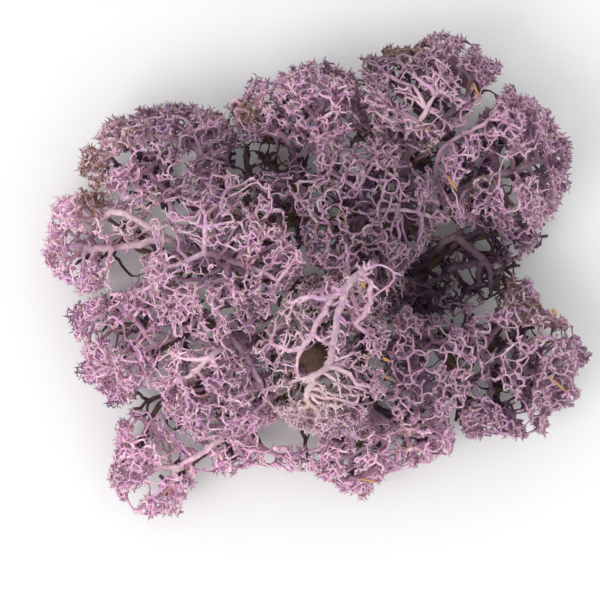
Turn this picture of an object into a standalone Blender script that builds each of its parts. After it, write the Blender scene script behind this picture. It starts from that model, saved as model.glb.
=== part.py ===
"""A clump of reindeer moss, the lichen, dyed lilac as it is sold for model scenery.

Seventeen tufts of forking stems lie tangled on a low net of old dead stems. Each tuft has a few main
stems with hand-laid routes. From those, a seeded rule forks finer stems out to the tuft's rounded
head, where they end in pointed fingers. The clump rests on the flattened underside of the old stems.

Run with: blender --background --python part.py
Metres, +Z up. The middle of the clump's footprint is at the origin, on the surface it lies on.
"""

import math
from collections import namedtuple

import bmesh
import bpy
import numpy as np
from mathutils import Matrix, Vector

MM = 0.001

# Driving dimensions, in millimetres
GAP = 0.3
FLOOR_CLEARANCE = 0.4
TIP_RADIUS = 0.215
STEM_POWER = 0.175
WHORL_SPACING = 1.75

OLD_STEM_RADIUS = 1.15
OLD_STEM_AXIS = 0.75
STUB_RADIUS = 1.15
ROOT_HEIGHT = 3.4
UPRIGHT_ROOT = 2.5

SEAM_BETWEEN_TUFTS = 0.3
BARE_OVER_STEM = {"tuft_centre": 2.0, "tuft_left": 2.0, "tuft_centre_right": 2.2}
BARE_OVER_OTHERS = 0.8

# How a head is filled, as shares of its radius, its inner tips or the spacing
SHELL_INSIDE = 0.82
CORE_INSIDE = 0.30
CORE_SHARE = 0.12
LATTICE_SHIFT = 0.30
OPEN_TO_THE_ROOT = 0.55
FAVOUR_THE_MIDDLE = 0.35

# How the heads run into one another, and the slow waves on them
CUSHION = 2.8
MERGE = 0.25
WAVE_DEPTH = 0.15
WAVE_SHIFT = 0.35
WAVE_LENGTH = 10.0
WAVE_COUNT = 6
WAVE_SEED = 5
WAVE_SCALE = 1.6
LATTICE_REACH = (1.3, 1.3, 1)

# How a stem forks
THIRD_STEM = 0.35
UNEVEN_SPLIT = (0.36, 0.64)
CROTCH = 1.15
SHORTEST_STEM = 0.30
WANDER = 0.09
GATHER = 0.07

# How coarse this solid model is: fewer forks, all at their true size
CARRIED_BY_A_FORK = 76
CORNER_SCALE = 1.35
HIDDEN_ROOT = 0.48
PAST_THE_FORK = 0.6
STEPS_ALONG = 2
SWELL_AT_A_FORK = 1.3
WELD = 0.001
FLOOR_BLOCK = (200, 200, 10)

# The mat of dead stems under the heads
MAT_SEED = 8
MAT_SPACING = 8.6
MAT_HEIGHTS = (1.6, 4.0)
MAT_INSIDE = 0.80
MAT_EDGE = 60
MAT_STOUTNESS = 1.9

# Colours, linear, and the surface
LILAC = (0.50, 0.34, 0.44)
TONE_RANGE = (0.85, 1.1)
BROWN = (0.13, 0.09, 0.06)
ROUGHNESS = 0.9

# Where the footprint's middle falls in the plan below
FOOTPRINT_MIDDLE = (1.441, 0.736)

Head = namedtuple("Head", "centre radii")
Stem = namedtuple("Stem", "places radii")
Tuft = namedtuple("Tuft", "name seed stems heads")

# Each tuft's first stem starts on the old stems. The others start from a point of an earlier one, and
# one that ends on a point of another closes a loop.
TUFTS = [
    Tuft(
        "tuft_upper_left",
        11,
        [
            [(-19, 13), (-20.5, 15, 12), (-22.2, 19.4, 20), (-22.4, 25.2, 24), (-23.5, 29.5, 25)],
            [(-22.4, 25.2, 24), (-29, 28.5, 22), (-36.4, 27.8, 19)],
            [(-20.5, 15, 12), (-27, 12.5, 17), (-29, 17.6, 20), (-33, 22, 19)],
        ],
        [Head((-30, 24.5, 16), (16.5, 11.5, 13))],
    ),
    Tuft(
        "tuft_left",
        12,
        [
            [
                (-22, 4),
                (-24, 6, 11),
                (-28.6, 8.2, 18.5),
                (-34.6, 11.8, 20.5),
                (-40.2, 13.8, 19),
                (-44, 12.6, 17),
            ],
            [(-28.6, 8.2, 18.5), (-36.6, 7.2, 17.5), (-43.6, 6.4, 16), (-48, 7.4, 14)],
        ],
        [Head((-45, 8, 12), (10, 11, 11)), Head((-37, 12, 13), (10, 7, 10))],
    ),
    Tuft(
        "tuft_left_lower",
        13,
        [
            [(-23, -8), (-26, -9.5, 9), (-32, -13, 14), (-38.2, -16.2, 16.5)],
            [(-32, -13, 14), (-36, -8, 14), (-40, -5, 13)],
        ],
        [Head((-37.5, -12, 11), (12, 12.5, 10.5))],
    ),
    Tuft(
        "tuft_bottom_left",
        14,
        [
            [(-6, -22), (-10, -25, 8), (-15.2, -28.6, 12), (-20, -33, 14), (-27, -37.6, 15)],
            [(-15.2, -28.6, 12), (-13.2, -31.4, 11), (-7.4, -35.4, 8), (1, -34.2, 7)],
        ],
        [
            Head((-32.5, -37.5, 9.5), (10.5, 12, 9)),
            Head((-16, -33, 9), (11, 6, 6.5)),
            Head((-4, -35.5, 6.5), (6, 3.5, 4.5)),
        ],
    ),
    Tuft(
        "tuft_centre_left",
        15,
        [
            [(-14, 2), (-15, 3, 14), (-16.5, 4.6, 27), (-21.2, 4.8, 34), (-27.8, 2.8, 33)],
            [(-16.5, 4.6, 27), (-13, 3, 33), (-7, 0, 35)],
            [(-21.2, 4.8, 34), (-21.4, 8, 36), (-21, 13, 36)],
            [(-16.5, 4.6, 27), (-17.2, 0.8, 32), (-23, -1.6, 33)],
        ],
        [Head((-18, 3, 24), (15.5, 16.5, 15))],
    ),
    Tuft(
        "tuft_lower_left",
        16,
        [
            [(-13, -12), (-13, -11.5, 14), (-16, -11.4, 24), (-20.6, -15.2, 29), (-26.6, -15.2, 28)],
            [(-20.6, -15.2, 29), (-25.4, -19.2, 27)],
            [(-16, -11.4, 24), (-12, -17, 26), (-9, -23, 24)],
        ],
        [Head((-18, -20, 17), (14, 13, 13))],
    ),
    Tuft(
        "tuft_centre",
        17,
        [
            [
                (9.5, 1),
                (11, 2, 14),
                (12, 3.4, 28),
                (11, 3.2, 37),
                (9.2, 1.6, 41.4),
                (6.6, -1, 43),
                (5.2, -5, 43.2),
                (4.3, -9.4, 42.6),
                (3.7, -13.2, 41.4),
                (2.6, -16.6, 39.8),
                (0, -18.6, 38.4),
                (-2.8, -19.2, 37),
            ],
            [(6.6, -1, 43), (3, -3.3, 42.6), (-0.4, -3.2, 41.6), (-4, -4.4, 40)],
            [(9.2, 1.6, 41.4), (10.8, -0.6, 42), (11, -3.2, 41.6), (10, -6, 41), (8.2, -8.4, 40)],
            [(9.2, 1.6, 41.4), (12.2, 2.9, 41), (15.2, 2, 40), (15.4, -0.2, 40), (13.2, -2, 40.6), (11, -3.2, 41.6)],
            [
                (3, -3.3, 42.6),
                (1.8, -6.2, 42.2),
                (-0.3, -10.8, 41),
                (-2.2, -13.4, 39.8),
                (-3.4, -16.4, 38.4),
                (-2.8, -19.2, 37),
            ],
            [(-0.3, -10.8, 41), (1.7, -11.6, 41.2), (3.7, -13.2, 41.4)],
            [(-2.2, -13.4, 39.8), (-5.6, -13.4, 38.4), (-8.2, -12.2, 36.6)],
            [(0, -18.6, 38.4), (-0.4, -21, 37.8), (-1.4, -23, 36.6)],
        ],
        [Head((2, -15, 26), (13.5, 16, 14))],
    ),
    Tuft(
        "tuft_top_centre",
        18,
        [
            [(-2, 17), (-3, 21, 11), (-5, 28, 18), (-11.4, 33.2, 20), (-15.6, 36.4, 17)],
            [(-5, 28, 18), (0, 33, 20), (5, 37, 18)],
        ],
        [Head((0, 32.5, 17), (15.5, 11.5, 13))],
    ),
    Tuft(
        "tuft_top_right",
        19,
        [
            [(18, 20), (18.6, 22, 12), (19.4, 26, 23), (20.6, 31, 31.5), (23.8, 36.2, 33.6)],
            [(19.4, 26, 23), (26, 32, 24), (31, 38, 23)],
        ],
        [Head((23, 36.5, 19), (14.5, 14, 15))],
    ),
    Tuft(
        "tuft_right_upper",
        20,
        [
            [(27, 14), (26.6, 16.2, 12), (24.6, 20.2, 23), (25, 25.2, 28), (29.4, 29, 29)],
            [(26.6, 16.2, 12), (33, 20, 19), (40, 22, 21), (45, 24, 19)],
        ],
        [Head((37.5, 24, 18), (15.5, 15, 14.5))],
    ),
    Tuft(
        "tuft_right",
        21,
        [[(29, 7.5), (32.5, 9.5, 8), (36, 12, 11), (40, 12.5, 12)]],
        [Head((37.5, 11, 9.5), (9, 7.5, 8))],
    ),
    Tuft(
        "tuft_centre_net",
        22,
        [
            [(9, 11), (10, 12, 15), (11, 13, 27), (12.6, 13.6, 35), (20.2, 13.4, 35.5)],
            [(11, 13, 27), (9, 18, 34), (11.4, 22.6, 36)],
            [(9, 18, 34), (3.5, 21, 33)],
            [(11, 13, 27), (6.5, 11.4, 33), (1, 11.4, 32)],
        ],
        [Head((11, 13.5, 24), (14.5, 14.5, 15))],
    ),
    Tuft(
        "tuft_lower_right",
        23,
        [
            [(25, -12), (28, -13.5, 10), (34, -15, 14), (40, -17, 16), (46, -19, 15)],
            [(34, -15, 14), (38, -9, 16), (44, -6, 14)],
            [(34, -15, 14), (36, -22, 15)],
        ],
        [Head((39.5, -17, 13.5), (16, 16, 12.5))],
    ),
    Tuft(
        "tuft_bottom_centre",
        24,
        [
            [(11, -24), (12, -26.5, 10), (14, -31, 15), (15, -36, 15)],
            [(12, -26.5, 10), (18.5, -31, 12), (20.5, -37, 10)],
        ],
        [Head((8, -34, 12), (8, 10, 11)), Head((19, -28, 13), (10, 9, 11.5))],
    ),
    Tuft(
        "tuft_centre_right",
        25,
        [
            [
                (23, 3),
                (24.6, 6, 12),
                (27.6, 8.8, 20),
                (31, 7.4, 22.5),
                (34, 4, 22.5),
                (35.4, 1, 20.5),
                (35.8, -3, 17),
            ],
            [(34, 4, 22.5), (31.6, 3.4, 20.5), (28.6, 2.8, 18.5), (26, 1, 17)],
            [(34, 4, 22.5), (33.2, 1.6, 20), (33, -0.6, 18), (31, -1.6, 17)],
        ],
        [Head((25, -0.5, 15), (12.5, 9, 11))],
    ),
    Tuft(
        "tuft_mid_right",
        26,
        [
            [(18, -13), (19, -14, 14), (20, -16, 22), (22, -20, 26)],
            [(20, -16, 22), (24, -12, 25)],
        ],
        [Head((21, -17, 22), (11, 11, 13))],
    ),
    Tuft(
        "tuft_upper_mid",
        27,
        [[(-7, 12), (-7, 14, 14), (-7, 18, 24), (-5, 21, 29)]],
        [Head((-7, 19, 20), (9.5, 9, 11))],
    ),
]

# Dark hollows in the heads, open above the height of their middle, with their reach in plan
HOLLOWS = [
    ((-0.2, -15, 22), (2.6, 2.9)),
    ((13.2, 0.4, 26), (1.9, 1.9)),
    ((-12.5, 24.4, 12), (4.5, 2.6)),
    ((22, -3, 12), (3.4, 3.6)),
    ((-7, 23.6, 14), (2.4, 2)),
    ((19, 9, 20), (3, 2)),
]

# Places in plan where no stem lies, so that the surface shows between the tufts
CLEARINGS = [
    ((-38, 1.6), (2.8, 3.4)),
    ((-33.6, -25), (2.8, 3.4)),
    ((-6.5, -31.2), (5, 2)),
    ((30.5, 4.7), (1.5, 1.2)),
    ((31.4, 1), (1.9, 1.8)),
    ((34.8, 7.2), (2.4, 2.4)),
]

# The dead stems that the tufts stand on, in plan
OLD_STEMS = [
    [(-22, 4), (-14, 2), (-3, -1), (9.5, 1), (23, 3), (29, 7.5)],
    [(-19, 13), (-7, 12), (1, 13), (9, 11), (18, 12), (27, 14)],
    [(-23, -8), (-13, -12), (0, -15), (10, -15), (18, -13), (25, -12)],
    [(-6, -22), (-2, -18), (0, -15), (2, -8), (9.5, 1), (9, 11)],
    [(11, -24), (9, -19), (10, -15)],
    [(-13, -12), (-15, -5), (-14, 2), (-10, 8), (-7, 12), (-2, 17)],
    [(23, 3), (21, -5), (18, -13)],
    [(18, 12), (18, 20)],
]
KNOTS = [(0, -15), (18, 12)]
KNOT_RADII = (4.2, 3.2, 2.6)

# The brown stump that shows through the window in the middle of the clump
STUMP = [(-0.4, -15, 1), (0.2, -14.6, 12), (-0.4, -15.2, 22), (-0.2, -15, 29), (-0.2, -15, 31), (-0.2, -15, 31.6)]
STUMP_RADII = [3.6, 3.0, 2.8, 2.6, 1.8, 0.7]


class Tree:
    """The forks of one tuft. Each has a place and the fork that it grows from."""

    def __init__(self):
        self.places = []
        self.parents = []

    def add(self, place, parent):
        self.places.append(np.asarray(place, float))
        self.parents.append(parent)
        return len(self.places) - 1

    def weights(self):
        """How many tips each fork carries. A fork always comes after the one that it grows from."""
        weights = np.zeros(len(self.parents), int)
        carries = np.zeros(len(self.parents), bool)
        for node in range(len(self.parents) - 1, -1, -1):
            if not carries[node]:
                weights[node] = 1
            parent = self.parents[node]
            if parent >= 0:
                weights[parent] += weights[node]
                carries[parent] = True
        return weights


def three(point):
    """A point as an array, at the height of a root where it has none of its own."""
    return np.array(point if len(point) == 3 else (*point, ROOT_HEIGHT), float)


def head_depth(points, head):
    """0 at the middle of a head and 1 on its surface, which is flatter on top than an ellipsoid."""
    off = (points - head.centre) / head.radii
    return (np.hypot(off[:, 0], off[:, 1]) ** CUSHION + np.abs(off[:, 2]) ** CUSHION) ** (1 / CUSHION)


def waves(points):
    """Slow waves through space, between about -1 and 1, that make low knolls and dips on the heads."""
    rng = np.random.default_rng(WAVE_SEED)
    ways = rng.normal(size=(WAVE_COUNT, 3))
    ways *= math.tau / WAVE_LENGTH / np.linalg.norm(ways, axis=1)[:, None]
    return np.sin(points @ ways.T + rng.uniform(0, math.tau, WAVE_COUNT)).mean(axis=1) * WAVE_SCALE


def merged_depth(points):
    """The depth in all the heads together, which is less between two heads, so that the valleys fill."""
    near = sum(np.exp(-head_depth(points, head) / MERGE) for tuft in TUFTS for head in tuft.heads)
    return -MERGE * np.log(near) * (1 + WAVE_DEPTH * (waves(points) + WAVE_SHIFT))


def plan_depth(points):
    """The same for the heads' outlines seen from above."""
    heads = [head for tuft in TUFTS for head in tuft.heads]
    depths = [np.hypot(*((points[:, :2] - head.centre[:2]) / head.radii[:2]).T) for head in heads]
    return -MERGE * np.log(sum(np.exp(-depth / MERGE) for depth in depths))


def within(points, middle, reach):
    """Which points lie in an ellipse in plan."""
    return (((points[:, :2] - middle[:2]) / reach) ** 2).sum(axis=1) < 1


def distance_to_line(points, start, end):
    """How far each point lies from a stretch of stem, seen from above, and the stem's height there."""
    way = end - start
    flat = way[:2]
    share = np.clip(((points[:, :2] - start[:2]) @ flat) / max(flat @ flat, 1e-9), 0, 1)
    nearest = start + share[:, None] * way
    return np.hypot(*(points - nearest)[:, :2].T), nearest[:, 2]


def lattice(head, rng):
    """Evenly spaced points over a head's box, each moved a little.

    Every other layer lies over the gaps of the last.
    """
    reach = np.array(head.radii) * LATTICE_REACH
    low, high = np.array(head.centre) - reach, np.array(head.centre) + reach
    cell = WHORL_SPACING * 2 / math.sqrt(3)
    layers = []
    for shift in (0.0, 0.5):
        axes = [np.arange(a, b + cell, cell) + shift * cell for a, b in zip(low, high)]
        layers.append(np.stack(np.meshgrid(*axes, indexing="ij"), axis=-1).reshape(-1, 3))
    points = np.concatenate(layers)
    return points + rng.uniform(-1, 1, points.shape) * LATTICE_SHIFT * cell


def tip_places(tuft, rng):
    """Where the tuft's finest stems end.

    Most lie in the outer part of its heads. None lies in a neighbour or over a main stem.
    """
    kept = []
    root = three(tuft.stems[0][0])
    for head in tuft.heads:
        points = lattice(head, rng)
        depth = head_depth(points, head)
        merged = merged_depth(points)
        sparse = (merged > CORE_INSIDE) & (rng.random(len(points)) < CORE_SHARE)
        keep = ((merged > SHELL_INSIDE) | sparse) & (merged < 1) & (points[:, 2] > FLOOR_CLEARANCE + 1)
        for other in TUFTS:
            bare = BARE_OVER_STEM.get(other.name, BARE_OVER_OTHERS)
            for crown in other.heads:
                if crown is not head:
                    keep &= (head_depth(points, crown) - depth) * min(head.radii) > SEAM_BETWEEN_TUFTS
            for stem in other.stems:
                for start, end in zip(stem, stem[1:]):
                    off, height = distance_to_line(points, three(start), three(end))
                    keep &= (off > bare) | (points[:, 2] < height - bare)
        for middle, reach in HOLLOWS:
            keep &= ~within(points, middle, reach) | (points[:, 2] < middle[2])
        for middle, reach in CLEARINGS:
            keep &= ~within(points, middle, reach)
        inward = root - head.centre
        inward /= np.linalg.norm(inward)
        keep &= ((points - head.centre) / head.radii) @ inward < OPEN_TO_THE_ROOT
        kept.append(points[keep])
    return np.concatenate(kept)


def directions():
    """Thirteen directions, spread evenly over half a sphere."""
    steps = (-1, 0, 1)
    ways = [(x, y, z) for x in steps for y in steps for z in steps if (x, y, z) > (0, 0, 0)]
    return np.array(ways) / np.linalg.norm(ways, axis=1)[:, None]


def halves(tips, rng):
    """Parts some tips across the direction in which they lie widest, off the middle by a random share."""
    along = tips @ directions().T
    along = along[:, along.var(axis=0).argmax()]
    cut = int(round(len(tips) * rng.uniform(*UNEVEN_SPLIT)))
    cut = min(max(cut, 1), len(tips) - 1)
    order = np.argsort(along, kind="stable")
    return [tips[order[:cut]], tips[order[cut:]]]


def split(tips, rng):
    """Two groups of tips, or sometimes three."""
    groups = halves(tips, rng)
    if rng.random() < THIRD_STEM and len(groups[0]) > 1:
        groups = halves(groups[0], rng) + groups[1:]
    return groups


def fork(tree, start, tips, rng):
    """Forks on from a place until each tip is reached. A fork stands off its tips by their spread."""
    work = [(start, tips)]
    while work:
        parent, tips = work.pop()
        if len(tips) == 1:
            tree.add(tips[0], parent)
            continue
        for group in split(tips, rng):
            middle = group.mean(axis=0)
            group = middle + (group - middle) * (1 - GATHER)
            if len(group) == 1:
                tree.add(group[0], parent)
                continue
            spread = math.sqrt(((group - middle) ** 2).sum(axis=1).mean())
            way = middle - tree.places[parent]
            length = np.linalg.norm(way)
            reach = max(length - CROTCH * spread, SHORTEST_STEM * length)
            place = tree.places[parent] + way / length * reach + rng.normal(size=3) * WANDER * reach
            place[2] = max(place[2], FLOOR_CLEARANCE + 1)
            work.append((tree.add(place, parent), group))


def smooth(points, steps):
    """A Catmull-Rom curve through the points, with a number of steps between each two."""
    points = np.array([three(p) for p in points])
    ends = np.vstack([2 * points[0] - points[1], points, 2 * points[-1] - points[-2]])
    out = []
    for a, b, c, d in zip(ends, ends[1:], ends[2:], ends[3:]):
        for t in np.arange(steps) / steps:
            square, cube = 2 * a - 5 * b + 4 * c - d, 3 * b - a - 3 * c + d
            out.append((2 * b + (c - a) * t + square * t**2 + cube * t**3) / 2)
    out.append(points[-1])
    return np.array(out)


def grow(tuft):
    """The tuft's tree, and for each of its main stems the forks along it."""
    rng = np.random.default_rng(tuft.seed)
    tree = Tree()
    routes = []
    found = {}
    for stem in tuft.stems:
        points = [three(point) for point in stem]
        if not routes:
            points.insert(1, points[0] + (0, 0, UPRIGHT_ROOT))
        route = []
        for place in smooth(points, STEPS_ALONG):
            key = tuple(place.round(3))
            if key not in found:
                found[key] = tree.add(place, route[-1] if route else -1)
            route.append(found[key])
        routes.append(route)
    stations = np.array(sorted(set(sum(routes, [])) - {routes[0][0]}))
    tips = tip_places(tuft, rng)
    middle = np.mean([head.centre for head in tuft.heads], axis=0)
    places = np.array([tree.places[s] for s in stations])
    away = np.linalg.norm(tips[:, None] - places[None], axis=2)
    away += FAVOUR_THE_MIDDLE * np.linalg.norm(places - middle, axis=1)[None]
    nearest = away.argmin(axis=1)
    for number, station in enumerate(stations):
        mine = tips[nearest == number]
        if len(mine):
            fork(tree, int(station), mine, rng)
    return tree, routes


def radius_of(tips):
    """The radius of a stem that carries so many tips."""
    return TIP_RADIUS * tips**STEM_POWER


def side_stems(tree, routes, carried):
    """The stems that leave the main ones, each from its root, fork by fork, to the furthest tip.

    Only forks that carry so many tips are kept. A stem follows its fullest fork, and others start from it.
    """
    weights = tree.weights()
    children = [[] for _ in tree.parents]
    for node, parent in enumerate(tree.parents):
        if parent >= 0:
            children[parent].append(node)
    main = set(sum(routes, []))
    stems = []

    def tips_under(node):
        """The places of the tips that a fork carries."""
        if not children[node]:
            return [tree.places[node]]
        return [tip for child in children[node] for tip in tips_under(child)]

    def follow(start, node):
        """One side stem that leaves a fork towards the next, and all that leave it in turn."""
        root = HIDDEN_ROOT * radius_of(weights[start])
        places, radii = [tree.places[start]], [min(root, radius_of(weights[node]))]
        while weights[node] >= carried:
            places.append(tree.places[node])
            radii.append(radius_of(weights[node]))
            fullest = max(children[node], key=lambda child: weights[child])
            for child in children[node]:
                if child != fullest:
                    follow(node, child)
            node = fullest
        tips = np.array(tips_under(node))
        places.append(tips[np.linalg.norm(tips - places[-1], axis=1).argmax()])
        radii.append(0)
        stems.append(Stem(places, radii))

    for node in sorted(main):
        for child in children[node]:
            if child not in main:
                follow(node, child)
    return stems


def main_stems(tree, routes):
    """The main stems of a tuft, each drawn a little past its last fork so that side stems root well inside."""
    weights = tree.weights()
    stems = []
    for number, route in enumerate(routes):
        places = [tree.places[node] for node in route]
        radii = radius_of(weights[route])
        radii[-1] = min(radii[-1], SWELL_AT_A_FORK * radii[-2])
        if number:
            radii[0] = min(radii[0], SWELL_AT_A_FORK * radii[1])
        way = places[-1] - places[-2]
        places[-1] = places[-1] + way / np.linalg.norm(way) * PAST_THE_FORK * radii[-1]
        stems.append(Stem(places, radii))
    return stems


def stretches(stem):
    """The straight stretches of a stem: where each starts, its way, and the reach of its corners."""
    places = np.array(stem.places)
    reach = np.array(stem.radii) * CORNER_SCALE
    return places[:-1], np.diff(places, axis=0), np.maximum(reach[:-1], reach[1:])


def least_gap(stem, others):
    """The least gap, from surface to surface, between each stretch of a stem and a list of other stems."""

    def dot(a, b):
        return (a * b).sum(axis=2)

    start, way, reach = (part[:, None] for part in stretches(stem))
    theirs = zip(*map(stretches, others))
    other_start, other_way, other_reach = (np.concatenate(part)[None] for part in theirs)
    apart = start - other_start
    long, other_long, both = dot(way, way), dot(other_way, other_way), dot(way, other_way)
    here, there = dot(way, apart), dot(other_way, apart)
    skew = np.maximum(long * other_long - both**2, 1e-9)
    share = np.clip((both * there - here * other_long) / skew, 0, 1)
    other_share = np.clip((both * share + there) / other_long, 0, 1)
    share = np.clip((both * other_share - here) / long, 0, 1)
    distance = np.linalg.norm(apart + way * share[..., None] - other_way * other_share[..., None], axis=2)
    return (distance - reach - other_reach).min(axis=1)


def kept_clear(stems, others):
    """The side stems, each ended where it would come too near another tuft."""
    kept = []
    for stem in stems:
        near = np.flatnonzero(least_gap(stem, others) < GAP)
        count = near[0] + 1 if len(near) else len(stem.places)
        if count > 1:
            kept.append(Stem(stem.places[:count], stem.radii[:count]))
    return kept


def dead_stems():
    """The finer dead stems, which fork out low under all the heads from the nearest of the old stems."""
    rng = np.random.default_rng(MAT_SEED)
    tree, routes, found = Tree(), [], {}
    for route in OLD_STEMS:
        keys = [tuple(place.round(3)) for place in smooth([(x, y, OLD_STEM_AXIS) for x, y in route], STEPS_ALONG)]
        for key in keys:
            if key not in found:
                found[key] = tree.add(key, -1)
        routes.append([found[key] for key in keys])
    axis = np.arange(-MAT_EDGE, MAT_EDGE, MAT_SPACING)
    tips = np.stack(np.meshgrid(axis, axis, [0.0], indexing="ij"), axis=-1).reshape(-1, 3)
    tips += rng.uniform(-LATTICE_SHIFT, LATTICE_SHIFT, tips.shape) * MAT_SPACING
    tips[:, 2] = rng.uniform(*MAT_HEIGHTS, len(tips))
    keep = plan_depth(tips) < MAT_INSIDE
    for middle, reach in CLEARINGS:
        keep &= ~within(tips, middle, reach)
    tips = tips[keep]
    places = np.array(tree.places)
    nearest = np.linalg.norm(tips[:, None] - places[None], axis=2).argmin(axis=1)
    for station in range(len(places)):
        if (nearest == station).any():
            fork(tree, station, tips[nearest == station], rng)
    stems = side_stems(tree, routes, 2)
    return [Stem(stem.places, [radius * MAT_STOUTNESS for radius in stem.radii]) for stem in stems]


def material(name, colour, roughness):
    """A matt surface in one colour."""
    made = bpy.data.materials.new(name)
    made.use_nodes = True
    made.diffuse_color = (*colour, 1)
    shader = made.node_tree.nodes["Principled BSDF"]
    shader.inputs["Base Color"].default_value = (*colour, 1)
    shader.inputs["Roughness"].default_value = roughness
    shader.inputs["Metallic"].default_value = 0
    return made


def tubes(name, stems, collection, section=None):
    """Stems as one mesh of loose closed tubes: six-sided, or with the section of a given curve."""
    curve = bpy.data.curves.new(name, "CURVE")
    curve.dimensions = "3D"
    curve.use_fill_caps = True
    if section:
        curve.bevel_mode = "OBJECT"
        curve.bevel_object = section
    else:
        curve.bevel_depth = MM
        curve.bevel_resolution = 1
    for stem in stems:
        spline = curve.splines.new("POLY")
        spline.points.add(len(stem.places) - 1)
        for spot, place, radius in zip(spline.points, stem.places, stem.radii):
            spot.co = (*(np.array(place) * MM), 1)
            spot.radius = radius
    drawn = bpy.data.objects.new(name, curve)
    collection.objects.link(drawn)
    graph = bpy.context.evaluated_depsgraph_get()
    mesh = bpy.data.meshes.new_from_object(drawn.evaluated_get(graph))
    form = bmesh.new()
    form.from_mesh(mesh)
    bmesh.ops.remove_doubles(form, verts=form.verts, dist=WELD * MM)
    bmesh.ops.recalc_face_normals(form, faces=form.faces)
    form.to_mesh(mesh)
    form.free()
    made = bpy.data.objects.new(name, mesh)
    made.matrix_world = drawn.matrix_world
    collection.objects.link(made)
    bpy.data.objects.remove(drawn)
    return made


def apart(made):
    """Splits an object's loose tubes into objects of their own."""
    bpy.ops.object.select_all(action="DESELECT")
    made.select_set(True)
    bpy.context.view_layer.objects.active = made
    bpy.ops.mesh.separate(type="LOOSE")


def joined(base, pieces, operation="UNION"):
    """Joins a collection of pieces to an object, or cuts them from it, and removes them."""
    step = base.modifiers.new("Join", "BOOLEAN")
    step.operation = operation
    step.operand_type = "COLLECTION"
    step.collection = pieces
    step.solver = "MANIFOLD"
    bpy.context.view_layer.objects.active = base
    bpy.ops.object.modifier_apply(modifier=step.name)
    for piece in list(pieces.objects):
        bpy.data.objects.remove(piece)
    keep_largest_body(base.data)


def keep_largest_body(mesh):
    """Drops loose scraps, and fills hollows that the joining sealed."""
    form = bmesh.new()
    form.from_mesh(mesh)
    bodies = []
    waiting = set(form.faces)
    while waiting:
        reached = [waiting.pop()]
        for face in reached:
            beside = {other for edge in face.edges for other in edge.link_faces} & waiting
            waiting -= beside
            reached.extend(beside)
        bodies.append(reached)
    largest = max(bodies, key=len)
    spare = [face for body in bodies if body is not largest for face in body]
    bmesh.ops.delete(form, geom=spare, context="FACES")
    form.to_mesh(mesh)
    form.free()


def settle(made, look, name):
    """Names an object, gives it its material and moves it over the middle of the clump's footprint."""
    made.name = name
    made.data.name = name
    made.data.transform(Matrix.Translation((-FOOTPRINT_MIDDLE[0] * MM, -FOOTPRINT_MIDDLE[1] * MM, 0)))
    made.data.materials.clear()
    made.data.materials.append(look)


def make_tuft(tuft, stems, sides, section, clump, loose):
    """One tuft as a single solid: its main stems as round tubes, with every side stem joined on."""
    base = tubes(tuft.name, [stems[0]], clump)
    for number, stem in enumerate(stems[1:]):
        tubes(f"main_{number}", [stem], loose)
    apart(tubes("side", sides, loose, section))
    joined(base, loose)
    tone = np.array(LILAC) * np.random.default_rng(tuft.seed).uniform(*TONE_RANGE)
    settle(base, material(f"{tuft.name}_lilac", tone, ROUGHNESS), tuft.name)


def make_old_stems(dead, section, clump, loose):
    """The net of dead stems under the tufts, with a stub below each tuft's root, cut flat where it rests."""
    for number, route in enumerate(OLD_STEMS):
        places = smooth([(x, y, OLD_STEM_AXIS) for x, y in route], STEPS_ALONG)
        made = tubes(f"old_{number}", [Stem(places, [OLD_STEM_RADIUS] * len(places))], loose)
        if number == 0:
            base = made
            loose.objects.unlink(base)
            clump.objects.link(base)
    for x, y in KNOTS:
        form = bmesh.new()
        bmesh.ops.create_uvsphere(form, u_segments=12, v_segments=7, radius=MM)
        mesh = bpy.data.meshes.new("knot")
        form.to_mesh(mesh)
        form.free()
        mesh.transform(Matrix.Diagonal((*KNOT_RADII, 1)))
        mesh.transform(Matrix.Translation(Vector((x, y, OLD_STEM_AXIS)) * MM))
        loose.objects.link(bpy.data.objects.new("knot", mesh))
    for tuft in TUFTS:
        x, y = tuft.stems[0][0]
        tubes("stub", [Stem([(x, y, OLD_STEM_AXIS), (x, y, ROOT_HEIGHT - GAP)], [STUB_RADIUS] * 2)], loose)
    tubes("stump", [Stem(STUMP, STUMP_RADII)], loose)
    apart(tubes("dead", dead, loose, section))
    joined(base, loose)
    bpy.ops.mesh.primitive_cube_add(size=1, location=(0, 0, -FLOOR_BLOCK[2] / 2 * MM))
    block = bpy.context.object
    block.scale = Vector(FLOOR_BLOCK) * MM
    for collection in list(block.users_collection):
        collection.objects.unlink(block)
    loose.objects.link(block)
    joined(base, loose, "DIFFERENCE")
    settle(base, material("dead_brown", BROWN, ROUGHNESS), "old_stems")


def triangle_section(loose):
    """The three-sided section of the side stems."""
    curve = bpy.data.curves.new("section", "CURVE")
    curve.dimensions = "2D"
    spline = curve.splines.new("POLY")
    spline.points.add(2)
    spline.use_cyclic_u = True
    for spot, turn in zip(spline.points, range(3)):
        angle = math.tau * turn / 3
        spot.co = (math.cos(angle) * CORNER_SCALE * MM, math.sin(angle) * CORNER_SCALE * MM, 0, 1)
    made = bpy.data.objects.new("section", curve)
    loose.objects.link(made)
    made.hide_render = True
    made.display_type = "WIRE"
    return made


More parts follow.
